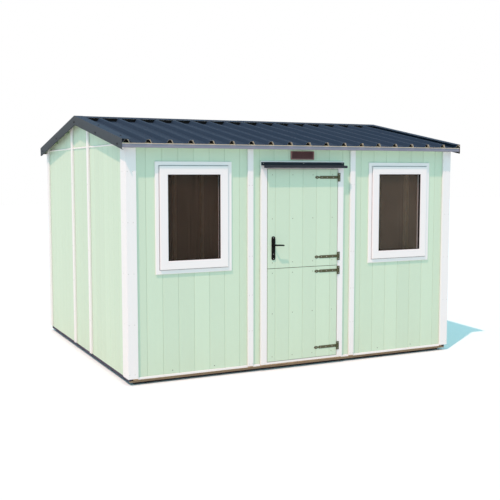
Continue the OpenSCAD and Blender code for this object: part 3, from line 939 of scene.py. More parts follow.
class Building:
    """Planes and levels of the building."""

    def __init__(self) -> None:
        """Measures them on the construction model's boxes."""
        corner, deck, ridge = (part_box(node)[1] for node in ("corner_boards", "floor_deck", "ridge_beam"))
        front, side, gable = (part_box(node) for node in ("front_wall_over_door", "left_wall", "left_gable"))
        self.half_length, self.half_depth = corner.x, corner.y
        self.face_x, self.inner_x = side[0].x, side[1].x
        self.face_y, self.inner_y = front[0].y, front[1].y
        self.frame_y, self.wall_top = gable[0].y, gable[0].z
        self.floor_top, self.seat_ridge = deck.z, ridge.z
        self.rise = gable[1].z - ridge.z
        self.slope = (ridge.z - gable[0].z) / gable[1].y

    def seat(self, y: Place) -> Place:
        """Height of the line that rafters and gables are planed to, at a place from front to back."""
        return self.seat_ridge - np.abs(y) * self.slope

    def at(self, side: Side, along: Place, inward: Place, height: Place) -> np.ndarray:
        """Turns places on a wall into points of the building.

        Args:
            side: the wall.
            along: X on the long walls, Y on the gable walls.
            inward: depth behind the wall's outer face.
            height: level above the ground.

        Returns:
            Points, with the arrays' shape and a last axis of 3.
        """
        along, inward, height = np.broadcast_arrays(along, inward, height)
        across = {
            Side.FRONT: (along, self.face_y + inward),
            Side.BACK: (along, -self.face_y - inward),
            Side.LEFT: (self.face_x + inward, along),
            Side.RIGHT: (-self.face_x - inward, along),
        }[side]
        return np.stack([*across, height], axis=-1)

    def outward(self, side: Side) -> tuple[float, float, float]:
        """Gives the direction that a wall faces.

        Args:
            side: the wall.

        Returns:
            The direction, one unit long.
        """
        return {
            Side.FRONT: FRONTWARD,
            Side.BACK: (0.0, 1.0, 0.0),
            Side.LEFT: (-1.0, 0.0, 0.0),
            Side.RIGHT: (1.0, 0.0, 0.0),
        }[side]


@dataclass(frozen=True)
class Opening:
    """A rectangle left out of a wall's boards."""

    left: float
    right: float
    low: float
    high: float


@dataclass
class Boarding:
    """Tongued and grooved boards, each a closed solid with eased edges that meet in a groove."""

    building: Building
    material: Material
    groove: float = 0.0042
    groove_depth: float = 0.0024
    joint: float = 0.0003
    least: float = 0.001
    random: np.random.Generator = field(default_factory=lambda: np.random.default_rng(11))

    def board(
        self,
        shape: Shape,
        side: Side,
        span: tuple[float, float],
        low: float,
        top: Callable[[np.ndarray, np.ndarray], np.ndarray],
        openings: Sequence[Opening] = (),
        kinks: Sequence[float] = (),
        base: float = 0.0,
        thickness: float = 0.016,
    ) -> None:
        """Adds one board.

        The face lies at depth base; within one groove width of either edge it falls off to
        groove_depth, in a straight line. Lines at the openings' edges cut it into cells, and the
        cells inside an opening are left out.

        Args:
            shape: what the board is added to.
            side: the wall it is on.
            span: its two edges along the wall.
            low: its foot.
            top: height of its top from the place along the wall and the depth behind the face.
            openings: rectangles to leave out.
            kinks: further places along the wall where the top changes slope.
            base: depth of its face behind the wall's face.
            thickness: its thickness.
        """
        left, right = span[0] + self.joint, span[1] - self.joint
        if right - left < 3 * self.groove:
            return
        inside = [left + self.groove, right - self.groove]
        cuts = [edge for hole in openings for edge in (hole.left, hole.right)] + list(kinks)
        inside += [edge for edge in cuts if left + self.groove < edge < right - self.groove]
        along = np.array([left, *sorted(set(inside)), right])
        drop = np.zeros(len(along))
        drop[[0, -1]] = self.groove_depth
        levels = sorted({edge for hole in openings for edge in (hole.low, hole.high)})
        roof = top(along, drop).min() - self.least
        levels = [level for level in levels if low + self.least < level < roof]
        fixed = np.array([low, *levels])[:, None] * np.ones(len(along))

        def face(depth: np.ndarray) -> np.ndarray:
            """Returns the grid of points at a depth for each line along the wall."""
            height = np.concatenate([fixed, top(along, base + depth)[None]])
            return self.building.at(side, along[None], (base + depth)[None], height)

        front, back = face(drop), face(np.full(len(along), thickness))
        middle = (along[1:] + along[:-1]) / 2
        sums = front[1:, :, 2] + front[:-1, :, 2]
        centre = (sums[:, 1:] + sums[:, :-1]) / 4
        keep = np.ones(centre.shape, bool)
        for hole in openings:
            across = (middle > hole.left) & (middle < hole.right)
            keep &= ~(across[None] & (centre > hole.low) & (centre < hole.high))
        if not keep.any():
            return
        # recess is 1 on each groove's edge points, where the paint is darkened as painted shade
        recess = np.tile((drop > 0).astype(float), len(fixed) + 1)
        points, faces = grid_solid(front, back, keep)
        whole = np.concatenate([front.reshape(-1, 3), back.reshape(-1, 3)])
        order = self._order(whole, points)
        flags = np.concatenate([recess, 0 * recess])
        rear = np.repeat([0.0, 1.0], len(recess))
        shape.add(
            points,
            faces,
            recess=flags[order],
            bare=rear[order],
            tone=float(self.random.uniform(-1, 1)),
            start=float(self.random.uniform(0, 40)),
        )

    @staticmethod
    def _order(whole: np.ndarray, points: np.ndarray) -> np.ndarray:
        """Returns, for each point, its row among all the points it was picked from."""
        gap = np.abs(whole[None] - points[:, None]).sum(axis=2)
        return np.argmin(gap, axis=1)

    def run(self, shape: Shape, side: Side, edges: Sequence[float], *ends: object, **more: object) -> None:
        """Adds a board between each two edges, in order, all with the same ends: foot and top."""
        for span in zip(edges[:-1], edges[1:]):
            self.board(shape, side, span, *ends, **more)


def spaced(first: float, last: float, through: float, pitch: float, least: float = 0.02) -> list[float]:
    """Places the joints between boards.

    Args:
        first: where the boards begin.
        last: where they end.
        through: a place that a joint falls on.
        pitch: distance from joint to joint.
        least: a joint nearer than this to either end is left out.

    Returns:
        All edges, from first to last.
    """
    count = math.ceil((last - first) / pitch) + 2
    joints = through + pitch * np.arange(-count, count + 1)
    inner = joints[(joints > first + least) & (joints < last - least)]
    return [first, *inner.tolist(), last]


# ---- Walls ----


@dataclass
class Walls:
    """Boards of the four walls and gables, the mouldings over their joints and their nails.

    Rows of nails are levels above the floor. Their columns are counted from the corner that they
    are near, and the foot screws from the left corner.
    """

    building: Building
    boards: Material
    bead: Material
    nails: Material
    screws: Material
    pitch: float = 0.1528
    left_joint: float = -0.6728
    right_joint: float = 0.6711
    door_joint: float = -0.005
    gable_joint: float = -1.070
    panel: float = 0.565
    strip: float = 0.057
    corner_front: float = 0.154
    corner_back: float = 0.080
    post: float = 0.063
    lining: float = 0.018
    sash_fit: float = 0.0005
    hair: float = 0.0004
    foot_lap: float = 0.007
    bead_height: float = 0.015
    bead_depth: float = 0.010
    nail: tuple[float, float] = (0.0042, 0.0016)
    corner_rows: tuple[float, ...] = (0.040, 0.489, 0.945, 1.399, 1.846)
    strip_rows: tuple[float, ...] = (0.024, 0.341, 0.683, 1.053, 1.717)
    corner_columns: tuple[float, float] = (0.0145, 0.0645)
    gable_corner_columns: tuple[float, float] = (0.100, 0.040)
    strip_spread: float = 0.016
    gable_strip_spread: float = 0.015
    foot_screws: tuple[float, ...] = (0.428, 0.845, 2.673, 3.089)
    foot_screw_row: float = 0.040

    def build(self) -> None:
        """Builds every wall."""
        self.front()
        self.back()
        for side in (Side.LEFT, Side.RIGHT):
            self.gable_wall(side)
        self.beads()
        self.nail_heads()
        self.foot_screw_heads()

    def _long_top(self, along: np.ndarray, depth: np.ndarray) -> np.ndarray:
        """Top of a long wall's boards, planed to the roof across their thickness."""
        return self.building.seat(self.building.face_y + depth) + 0 * along

    def _openings(self) -> list[Opening]:
        """Measures the openings in the front wall.

        Returns:
            Two windows, each as large as its sash, and the doorway.
        """
        fit = self.sash_fit
        sashes = [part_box(f"{side}_window_sash") for side in ("left", "right")]
        holes = [Opening(low.x - fit, high.x + fit, low.z - fit, high.z + fit) for low, high in sashes]
        low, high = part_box("front_wall_beside_door")
        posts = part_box("door_posts")
        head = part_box("door_head_and_sill")
        clear = self.post - self.lining
        below = low.z - 0.01
        holes.append(Opening(posts[0].x + clear, posts[1].x - clear, below, head[0].z + high.z - low.z))
        return holes

    def front(self) -> None:
        """The front wall's boards, round both windows and the doorway."""
        plan = self.building
        shape = Shape()
        work = Boarding(plan, self.boards)
        edges = spaced(plan.face_x, -self.panel, self.left_joint, self.pitch)
        edges += spaced(-self.panel, self.panel, self.door_joint, self.pitch)[1:]
        edges += spaced(self.panel, -plan.face_x, self.right_joint, self.pitch)[1:]
        work.run(shape, Side.FRONT, edges, plan.floor_top, self._long_top, openings=self._openings())
        parts = ("left", "right", "beside_door", "over_door")
        nodes = (f"front_wall_{part}" for part in parts)
        settle(shape.object("front_boards", self.boards), "root", "mint_paint", *nodes)

    def back(self) -> None:
        """The back wall's boards."""
        plan = self.building
        shape = Shape()
        work = Boarding(plan, self.boards, random=np.random.default_rng(12))
        edges = spaced(plan.face_x, -plan.face_x, 0.0, self.pitch)
        work.run(shape, Side.BACK, edges, plan.floor_top, self._long_top)
        settle(shape.object("back_boards", self.boards), "root", "mint_paint", "back_wall")

    def gable_wall(self, side: Side) -> None:
        """One gable wall's boards up to the joint, and the shorter ones above it.

        Args:
            side: the wall.
        """
        plan = self.building
        shape = Shape()
        work = Boarding(plan, self.boards, random=np.random.default_rng(13 + len(side.value)))

        def wall_line(along: np.ndarray, depth: np.ndarray) -> np.ndarray:
            """Top of the wall: level, and planed to the roof near the corners."""
            return np.minimum(plan.wall_top - self.hair, plan.seat(along)) + 0 * depth

        def gable_line(along: np.ndarray, depth: np.ndarray) -> np.ndarray:
            """Top of the gable, which reaches up between the purlins to the sheets."""
            return plan.seat(along) + plan.rise + 0 * depth

        edges = spaced(plan.inner_y, -plan.inner_y, self.gable_joint, self.pitch)
        kinks = (plan.frame_y, -plan.frame_y)
        work.run(shape, side, edges, plan.floor_top - self.foot_lap, wall_line, kinks=kinks)
        edges = spaced(plan.frame_y, -plan.frame_y, self.gable_joint, self.pitch)
        work.run(shape, side, edges, plan.wall_top + self.hair, gable_line, kinks=(0.0,))
        piece = shape.object(f"{side.value}_boards", self.boards)
        settle(piece, "root", "mint_paint", f"{side.value}_wall", f"{side.value}_gable")

    def beads(self) -> None:
        """Thin white mouldings over the joint between each gable and the wall under it.

        The section is flat behind and bulges by depth * cos(angle)^0.7 in front.
        """
        plan = self.building
        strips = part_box("gable_strips")
        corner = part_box("corner_boards")
        starts = (corner[0].y + self.corner_front, strips[0].y + self.strip, strips[1].y)
        ends = (strips[0].y, strips[1].y - self.strip, corner[1].y - self.corner_back)
        half = self.bead_height / 2
        angle = np.linspace(-np.pi / 2, np.pi / 2, 7)
        bulge = np.stack([-self.bead_depth * np.cos(angle) ** 0.7, half * np.sin(angle)], axis=1)
        section = np.concatenate([[[0.0, -half]], bulge[1:-1], [[0.0, half]]])
        shape = Shape()
        for side in (Side.LEFT, Side.RIGHT):
            for span in zip(starts, ends):
                along = np.array(span)[:, None]
                rings = plan.at(side, along, section[None, :, 0], plan.wall_top + section[None, :, 1])
                shape.add(*swept_solid(rings))
        settle(shape.object("gable_joint_beads", self.bead, smooth=50), "root", "white_paint")

    def _drive(self, shape: Shape, side: Side, along: np.ndarray, rows: Sequence, depth: float) -> None:
        """Adds low domed nail heads to a wall, one at each place on each row.

        Args:
            shape: what the heads are added to.
            side: the wall.
            along: places along the wall.
            rows: levels above the floor.
            depth: depth of the timber's face behind the wall's.
        """
        radius, height = self.nail
        share = np.array([[1.0, -0.2], [1.0, 0.06], [0.86, 0.26], [0.5, 0.36], [0.15, 0.38]])
        dome = share * (radius, height / share[-1, 1])
        place, level = np.meshgrid(along, self.building.floor_top + np.array(rows))
        centres = self.building.at(side, place.ravel(), depth, level.ravel())
        shape.add(*turned_heads(centres, self.building.outward(side), dome, 10))

    def nail_heads(self) -> None:
        """Nail heads in the corner boards and cover strips of all four walls."""
        plan = self.building
        shape = Shape()
        edge, deep = plan.half_length, plan.half_depth
        proud = deep + plan.face_y
        low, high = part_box("gable_strips")
        outer, inner = self.corner_columns
        front, back = self.gable_corner_columns
        corners = np.array([outer - edge, inner - edge, edge - inner, edge - outer])
        strips = in_pairs((-self.panel, self.panel), self.strip_spread)
        gable_corners = np.array([front - deep, deep - back])
        middles = (low.y + self.strip / 2, high.y - self.strip / 2)
        gable_strips = in_pairs(middles, self.gable_strip_spread)
        long_wall, gable = (corners, strips), (gable_corners, gable_strips)
        for side, columns in zip(Side, (long_wall, long_wall, gable, gable)):
            for along, rows in zip(columns, (self.corner_rows, self.strip_rows)):
                self._drive(shape, side, along, rows, -proud)
        settle(shape.object("nail_heads", self.nails, smooth=60), "root", "white_paint")

    def foot_screw_heads(self) -> None:
        """Screws through the boards' feet into the floor, front and back."""
        shape = Shape()
        along = np.array(self.foot_screws) - self.building.half_length
        for side in (Side.FRONT, Side.BACK):
            self._drive(shape, side, along, (self.foot_screw_row,), 0.0)
        settle(shape.object("board_foot_screws", self.screws, smooth=60), "root", "mint_paint")


# ---- Floor and framing ----


@dataclass
class Floor:
    """Floor boards on bearers, and the runners they stand on.

    The end rails stand back behind the feet of the gable boards, and the outer skin of the front
    and back bearers, the cheek, runs past them to the corners.
    """

    boards: Material
    bearers: Material
    rails: Material
    runners: Material
    board: float = 0.12
    least_board: float = 0.02
    deck: float = 0.018
    joint: float = 0.0012
    inset: float = 0.0006
    hair: float = 0.0004
    end_rail: float = 0.018
    lap: float = 0.0165
    cheek: float = 0.0155
    rebate: float = 0.008
    bearer: float = 0.045
    cross_bearers: int = 7
    ease: float = 0.0015
    runner_ease: float = 0.003

    def __post_init__(self) -> None:
        """Works out the planes that boards, bearers and rails share."""
        self.low, self.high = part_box("floor_deck")
        self.level = self.high.z - self.deck
        self.left, self.right = self.low.x + self.lap, self.high.x - self.lap
        self.near, self.far = self.low.y + self.bearer, self.high.y - self.bearer
        self.cheek_near, self.cheek_far = self.low.y + self.cheek, self.high.y - self.cheek

    def build(self) -> None:
        """Builds boards, bearers, end rails and runners."""
        self.floor_boards()
        self.bearer_frame()
        self.end_rails()
        # the runners' dark blue-grey finish is painted shade under the floor
        eased_copy("floor_runners", self.runner_ease, self.runners)
        LOG.info("floor at %.3f m", self.high.z)

    def _blocks(self, name: str, blocks: Sequence, material: Material, slot: str, *nodes: str) -> None:
        """Makes one piece of eased blocks.

        Args:
            name: the piece's name.
            blocks: each block's limits in X, Y and Z.
            material: their finish.
            slot: the material slot they take.
            nodes: construction nodes that they replace.
        """
        limits = np.array(blocks, float)
        piece = single(name, boxes(limits[:, :, 0], limits[:, :, 1]), material)
        settle(ease_edges(piece, self.ease), "root", slot, *nodes)

    def floor_boards(self) -> None:
        """Boards from front to back, side by side between the end rails."""
        first, last = self.left + self.end_rail, self.right - self.end_rail
        across = (self.low.y + self.inset, self.high.y - self.inset)
        blocks = []
        for start in np.arange(first, last - self.least_board, self.board):
            end = min(start + self.board - self.joint, last - self.inset)
            blocks.append(((start + self.inset, end), across, (self.level, self.high.z)))
        self._blocks("floor_boards", blocks, self.boards, "floor_timber", "floor_deck")

    def bearer_frame(self) -> None:
        """Front and back bearers with their cheeks, and the bearers between them."""
        low, high = self.low, self.high
        tall = (low.z, self.level - self.hair)
        whole, between = (low.x, high.x), (self.left, self.right)
        blocks = [(whole, (low.y, self.cheek_near), tall), (between, (self.cheek_near, self.near), tall)]
        blocks += [(whole, (self.cheek_far, high.y), tall), (between, (self.far, self.cheek_far), tall)]
        for x in np.linspace(self.left, self.right - self.bearer, self.cross_bearers + 2)[1:-1]:
            blocks.append(((x, x + self.bearer), (self.near, self.far), tall))
        self._blocks("floor_bearers", blocks, self.bearers, "floor_timber")

    def end_rails(self) -> None:
        """Rails at both ends, their blocks over the bearers, and the skin under the boards' feet."""
        low, high = self.low, self.high
        top, foot = (self.level, high.z), (low.z, high.z - self.rebate)
        inner_ends = ((self.cheek_near, self.near), (self.far, self.cheek_far))
        outer_ends = ((low.y, self.cheek_near), (self.cheek_far, high.y))
        blocks = []
        for inner, outer in ((self.left, low.x), (self.right - self.end_rail, self.right)):
            rail, skin = (inner, inner + self.end_rail), (outer, outer + self.lap)
            blocks += [(rail, (self.near, self.far), (low.z, high.z))]
            blocks += [(rail, across, top) for across in inner_ends]
            blocks += [(skin, across, top) for across in outer_ends]
            blocks += [(skin, (self.cheek_near, self.cheek_far), foot)]
        # the rails' dark blue-grey finish is painted shade at the floor's ends
        self._blocks("floor_end_rails", blocks, self.rails, "runner_timber")


@dataclass
class Members:
    """Timbers copied from their construction nodes with eased edges, each in its own finish."""

    finishes: dict[str, Material]
    ease: float = 0.0018
    segments: int = 1

    def build(self) -> None:
        """Builds each node's copy."""
        for node, material in self.finishes.items():
            eased_copy(node, self.ease, material, self.segments)


# ---- Roof ----


WASHER = np.array([[0.009, -0.0005], [0.009, 0.0012], [0.0062, 0.0024]])
HEXAGON = np.array([[0.0042, 0.001], [0.0042, 0.0052], [0.0034, 0.0058]])


@dataclass
class Roof:
    """Box-profile sheets, ridge cap, verge flashings, eaves trims and their fixings.

    The foam fillers are given by how far they start up from the eave or from the cap's edge, and
    by their length. Rows of screws are given by their run down the slope from the ridge, apart
    from eave_screws, counted from the eave, and screw_shares, which are shares of the whole run.
    """

    building: Building
    sheet: Material
    flashing: Material
    trim: Material
    fixing: Material
    verge_fixing: Material
    foam: Material
    rib_pitch: float = 0.2
    rib_height: float = 0.032
    crest: float = 0.032
    foot: float = 0.066
    first_rib: float = 0.037
    ridge_gap: float = 0.012
    model_metal: float = 0.0015
    metal: float = 0.0011
    bend: float = 0.004
    hair: float = 0.0001
    end_gap: float = 0.001
    cap_wing: float = 0.140
    cap_bend: float = 0.02
    cap_lap: float = 0.1
    cap_rise: float = 0.0013
    filler_fit: float = 0.0012
    filler_low: float = 0.0004
    filler_under: float = 0.0022
    filler_cut: float = 0.002
    eave_filler: tuple[float, float] = (0.056, 0.022)
    ridge_filler: tuple[float, float] = (0.030, 0.016)
    verge_depth: float = 0.092
    verge_flange: float = 0.092
    verge_return: float = 0.014
    verge_bend: float = 0.003
    trim_lip: float = 0.012
    trim_return: float = 0.040
    trim_bend: float = 0.002
    trim_drop: float = 0.0009
    trim_metal: float = 0.00135
    hem_height: float = 0.006
    hem_metal: float = 0.0035
    hem_gap: float = 0.002
    screw_side: float = 0.045
    eave_screws: float = 0.062
    screw_shares: tuple[float, float] = (0.68, 0.36)
    ridge_screws: float = 0.155
    cap_screws: float = 0.11
    verge_screws: tuple[float, ...] = (0.012, 0.795, 1.490)
    verge_screw_drop: float = 0.027
    flange_screw_shift: float = 0.055

    def __post_init__(self) -> None:
        """Works out the levels that the sheets share."""
        pitch = math.atan(self.building.slope)
        self.sine, self.cosine = math.sin(pitch), math.cos(pitch)
        low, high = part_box("front_roof_sheet")
        height = self.rib_height + self.model_metal
        self.half = high.x
        self.pan = high.z + self.ridge_gap * self.sine - height * self.cosine
        self.length = -(low.y + height * self.sine) / self.cosine
        self.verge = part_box("right_verge_flashing")[1].x

    def on_slope(self, x: Place, run: Place, lift: Place, facing: float) -> np.ndarray:
        """Turns places on a slope into points.

        The point is run down the slope from the ridge line and lift square to it, over the
        underside of the sheets' pans.

        Args:
            x: place along the ridge.
            run: distance down the slope.
            lift: height square to the slope.
            facing: 1 for the front slope, -1 for the back.

        Returns:
            Points, with a last axis of 3.
        """
        x, run, lift = np.broadcast_arrays(x, run, lift)
        y = -(run * self.cosine + lift * self.sine) * facing
        z = self.pan - run * self.sine + lift * self.cosine
        return np.stack([x, y, z], axis=-1)

    def _normal(self, facing: float) -> tuple[float, float, float]:
        """Returns the direction square to a slope."""
        return (0.0, -self.sine * facing, self.cosine)

    def build(self) -> None:
        """Builds the whole roof."""
        self.sheets()
        self.ridge_cap()
        self.fillers()
        self.verges()
        self.eaves()
        self.fixings()
        self.verge_fixings()

    def _middles(self) -> np.ndarray:
        """Returns the places of the ribs' middles along the ridge."""
        count = int((2 * self.half - self.first_rib) / self.rib_pitch) + 1
        return self.first_rib - self.half + self.rib_pitch * np.arange(count)

    def rib_line(self) -> np.ndarray:
        """Returns the corners of the sheets' outer line: pan, flank, crest and flank by turns."""
        middle = self._middles()
        reach = np.array([-self.foot, -self.crest, self.crest, self.foot]) / 2
        lift = np.array([0.0, self.rib_height, self.rib_height, 0.0])
        x = (middle[:, None] + reach).ravel()
        z = np.tile(lift, len(middle))
        inside = (x > -self.half + 1e-4) & (x < self.half - 1e-4)
        last = float(np.interp(self.half, x, z)) if x[-1] > self.half else 0.0
        line = np.stack([x[inside], z[inside]], axis=1)
        return np.concatenate([[[-self.half, 0.0]], line, [[self.half, last]]])

    def sheets(self) -> None:
        """The two slopes' sheets: the bent rib line carried down the slope, with a thin back."""
        outer = rounded_line(self.rib_line(), self.bend, 4)
        run = np.linspace(self.ridge_gap, self.length, 9)[:, None]
        for facing, name in ((1.0, "front"), (-1.0, "back")):
            grids = [
                self.on_slope(line[:, 0], run, self.model_metal + line[:, 1], facing)
                for line in (outer, offset_line(outer, -self.metal))
            ]
            shape = Shape()
            shape.add_sheet(*grids)
            piece = shape.object(f"{name}_roof_sheets", self.sheet, smooth=38)
            settle(piece, "root", "roof_steel", f"{name}_roof_sheet")

    def ridge_cap(self) -> None:
        """Folded cap in two lengths, the second lapped over the first, on the rib crests."""
        lift = self.rib_height + self.model_metal + self.hair
        apex = self.pan + lift / self.cosine + self.model_metal
        wing = self.cap_wing * self.cosine
        edge = apex - wing * self.building.slope
        corners = [(-wing, edge), (0, apex), (wing, edge)]
        shape = Shape()
        for start, end, rise in ((-self.half, self.cap_lap, 0.0), (0.0, self.half, self.cap_rise)):
            x = np.linspace(start + self.end_gap, end - self.end_gap, 5)
            grids = folded_strip(corners, self.cap_bend, 9, -self.metal, x)
            shape.add_sheet(*(grid + (0.0, 0.0, rise) for grid in grids))
        settle(shape.object("ridge_cap_folded", self.sheet, smooth=30), "root", "roof_steel", "ridge_cap")

    def fillers(self) -> None:
        """Black foam blocks, painted shade in the openings: in each rib a little up from the eave, and in
        each pan under the cap.

        A block is the rib's or the pan's section, carried a short way down the slope. The last
        rib is cut by the sheet's edge, so its block ends there.
        """
        middle = self._middles()
        foot, crest, gap = self.foot / 2, self.crest / 2, self.rib_pitch
        fit, low, metal = self.filler_fit, self.filler_low, self.model_metal
        high = self.rib_height + metal
        top = high - self.filler_under
        side = self.half - self.filler_cut - middle[-1]
        knee = (foot - side) / (foot - crest) * self.rib_height - self.filler_under
        crown = [(crest - fit, top), (fit - crest, top)]
        rib = [(fit - foot, low), (foot - fit, low), *crown]
        cut_rib = [(fit - foot, low), (side, low), (side, knee), *crown]
        pan = [(foot, metal), (gap - foot, metal), (gap - crest, high), (crest, high)]
        eave = self.length - self.eave_filler[0] + np.array([[0.0], [self.eave_filler[1]]])
        ridge = self.cap_wing - self.ridge_filler[0] + np.array([[0.0], [self.ridge_filler[1]]])
        # the black blocks stand in for the shade inside the ribs and under the cap
        blocks = ((rib, eave, middle[:-1]), (cut_rib, eave, middle[-1:]), (pan, ridge, middle[:-1]))
        shape = Shape()
        for section, ends, places in blocks:
            x, lift = np.array(section).T
            moves = np.stack([places, 0 * places, 0 * places], axis=1)
            for facing in (1.0, -1.0):
                rings = self.on_slope(x, ends, lift, facing)
                shape.add(*repeated(*swept_solid(rings), moves))
        settle(shape.object("rib_and_ridge_fillers", self.foam), "root", "roof_steel")

    def verges(self) -> None:
        """Verge flashings: a folded section carried from the front eave over the ridge to the back.

        At the ridge each point lies where its own line down the slope meets the middle plane, so
        that both slopes share it; the eave ends are cut plumb.
        """
        top = self.rib_height + 3 * self.model_metal + self.hair
        edge, foot = self.verge, top - self.verge_depth
        upper = [(edge - self.verge_flange, top), (edge, top)]
        corners = [*upper, (edge, foot), (edge - self.verge_return, foot)]
        outer = rounded_line(corners, self.verge_bend, 4)
        share = np.linspace(0, 1, 6)[:, None]
        for side, sign in (("left", -1.0), ("right", 1.0)):
            grids = []
            for line in (outer, offset_line(outer, -self.metal)):
                x, lift = sign * line[:, 0], line[:, 1]
                run = self.length * share - lift * self.building.slope
                front = self.on_slope(x, run, lift, 1.0)[::-1]
                rear = self.on_slope(x, run, lift, -1.0)[1:]
                grids.append(np.concatenate([front, rear]))
            # the flashing's flat top, which takes a bluer colour than its face as painted light
            painted_light_top = np.tile((outer[:, 1] > top - 1e-6).astype(float), len(grids[0]))
            shape = Shape()
            shape.add_sheet(*grids, flat=np.concatenate([painted_light_top, 0 * painted_light_top]))
            piece = shape.object(f"{side}_verge_folded", self.flashing, smooth=30)
            settle(piece, "root", "flashing_steel", f"{side}_verge_flashing")

    def eaves(self) -> None:
        """Eaves trims: an upright face, a return under it, and a pale hem at its top as a painted highlight.
        """
        low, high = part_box("eaves_trims")
        edge, top, foot = low.y, high.z - self.trim_drop, low.z
        corners = [(edge + self.trim_lip, top), (edge, top), (edge, foot), (edge + self.trim_return, foot)]
        x = np.linspace(low.x + self.end_gap, high.x - self.end_gap, 5)
        grids = folded_strip(corners, self.trim_bend, 4, self.trim_metal, x)
        start, end = low.x + self.hem_gap, high.x - self.hem_gap
        lowest = (start, edge - self.hem_metal, high.z - self.hem_height)
        hem = np.array([lowest, (end, edge, high.z - self.end_gap)])
        shape = Shape()
        for facing in (1.0, -1.0):
            flip = (1.0, facing, 1.0)
            shape.add_sheet(*(grid * flip for grid in grids))
            # painted highlight: the hem takes the pale backing colour, so the top fold reads lit even in
            # shade
            shape.add(*boxes(*np.sort(hem * flip, axis=0)), under=1.0)
        piece = shape.object("eaves_trims_folded", self.trim, smooth=30)
        settle(piece, "root", "flashing_steel", "eaves_trims")

    def _drive(
        self, shape: Shape, spots: np.ndarray, way: Sequence[float], washer: float = 1.0, head: float = 1.0
    ) -> None:
        """Adds a washer and a hexagon head at each spot, facing a way, at shares of full size."""
        shape.add(*turned_heads(spots, way, washer * WASHER, 10))
        shape.add(*turned_heads(spots, way, head * HEXAGON, 6))

    def fixings(self) -> None:
        """Hexagon roofing screws with washers in the pans, and smaller ones on the cap."""
        middle = self._middles()
        pans = middle[:-1] + self.rib_pitch / 2 - self.screw_side
        rows = {
            self.length - self.eave_screws: pans,
            self.length * self.screw_shares[0]: pans[1::2],
            self.length * self.screw_shares[1]: pans[::2],
            self.ridge_screws: pans[1::2],
        }
        on_cap = self.rib_height + 3 * self.model_metal
        shape = Shape()
        for facing in (1.0, -1.0):
            normal = self._normal(facing)
            for run, places in rows.items():
                self._drive(shape, self.on_slope(places, run, self.model_metal, facing), normal)
            crests = self.on_slope(middle[1:-1:3], self.cap_screws, on_cap, facing)
            self._drive(shape, crests, normal, 0.8, 0.9)
        settle(shape.object("roofing_screws", self.fixing, smooth=30), "root", "roof_steel")

    def verge_fixings(self) -> None:
        """Screws with broad washers through the faces and flanges of the verge flashings."""
        shape = Shape()
        runs = np.array(self.verge_screws)
        on_flange = self.rib_height + 3 * self.model_metal
        for sign in (-1.0, 1.0):
            middle = sign * (self.verge - self.verge_flange / 2)
            for facing in (1.0, -1.0):
                face = self.on_slope(sign * self.verge, runs, -self.verge_screw_drop, facing)
                flange = self.on_slope(middle, runs[1:] - self.flange_screw_shift, on_flange, facing)
                self._drive(shape, face, (sign, 0.0, 0.0), 1.15)
                self._drive(shape, flange, self._normal(facing), 1.15)
        settle(shape.object("verge_screws", self.verge_fixing, smooth=30), "root", "flashing_steel")


# ---- Windows ----


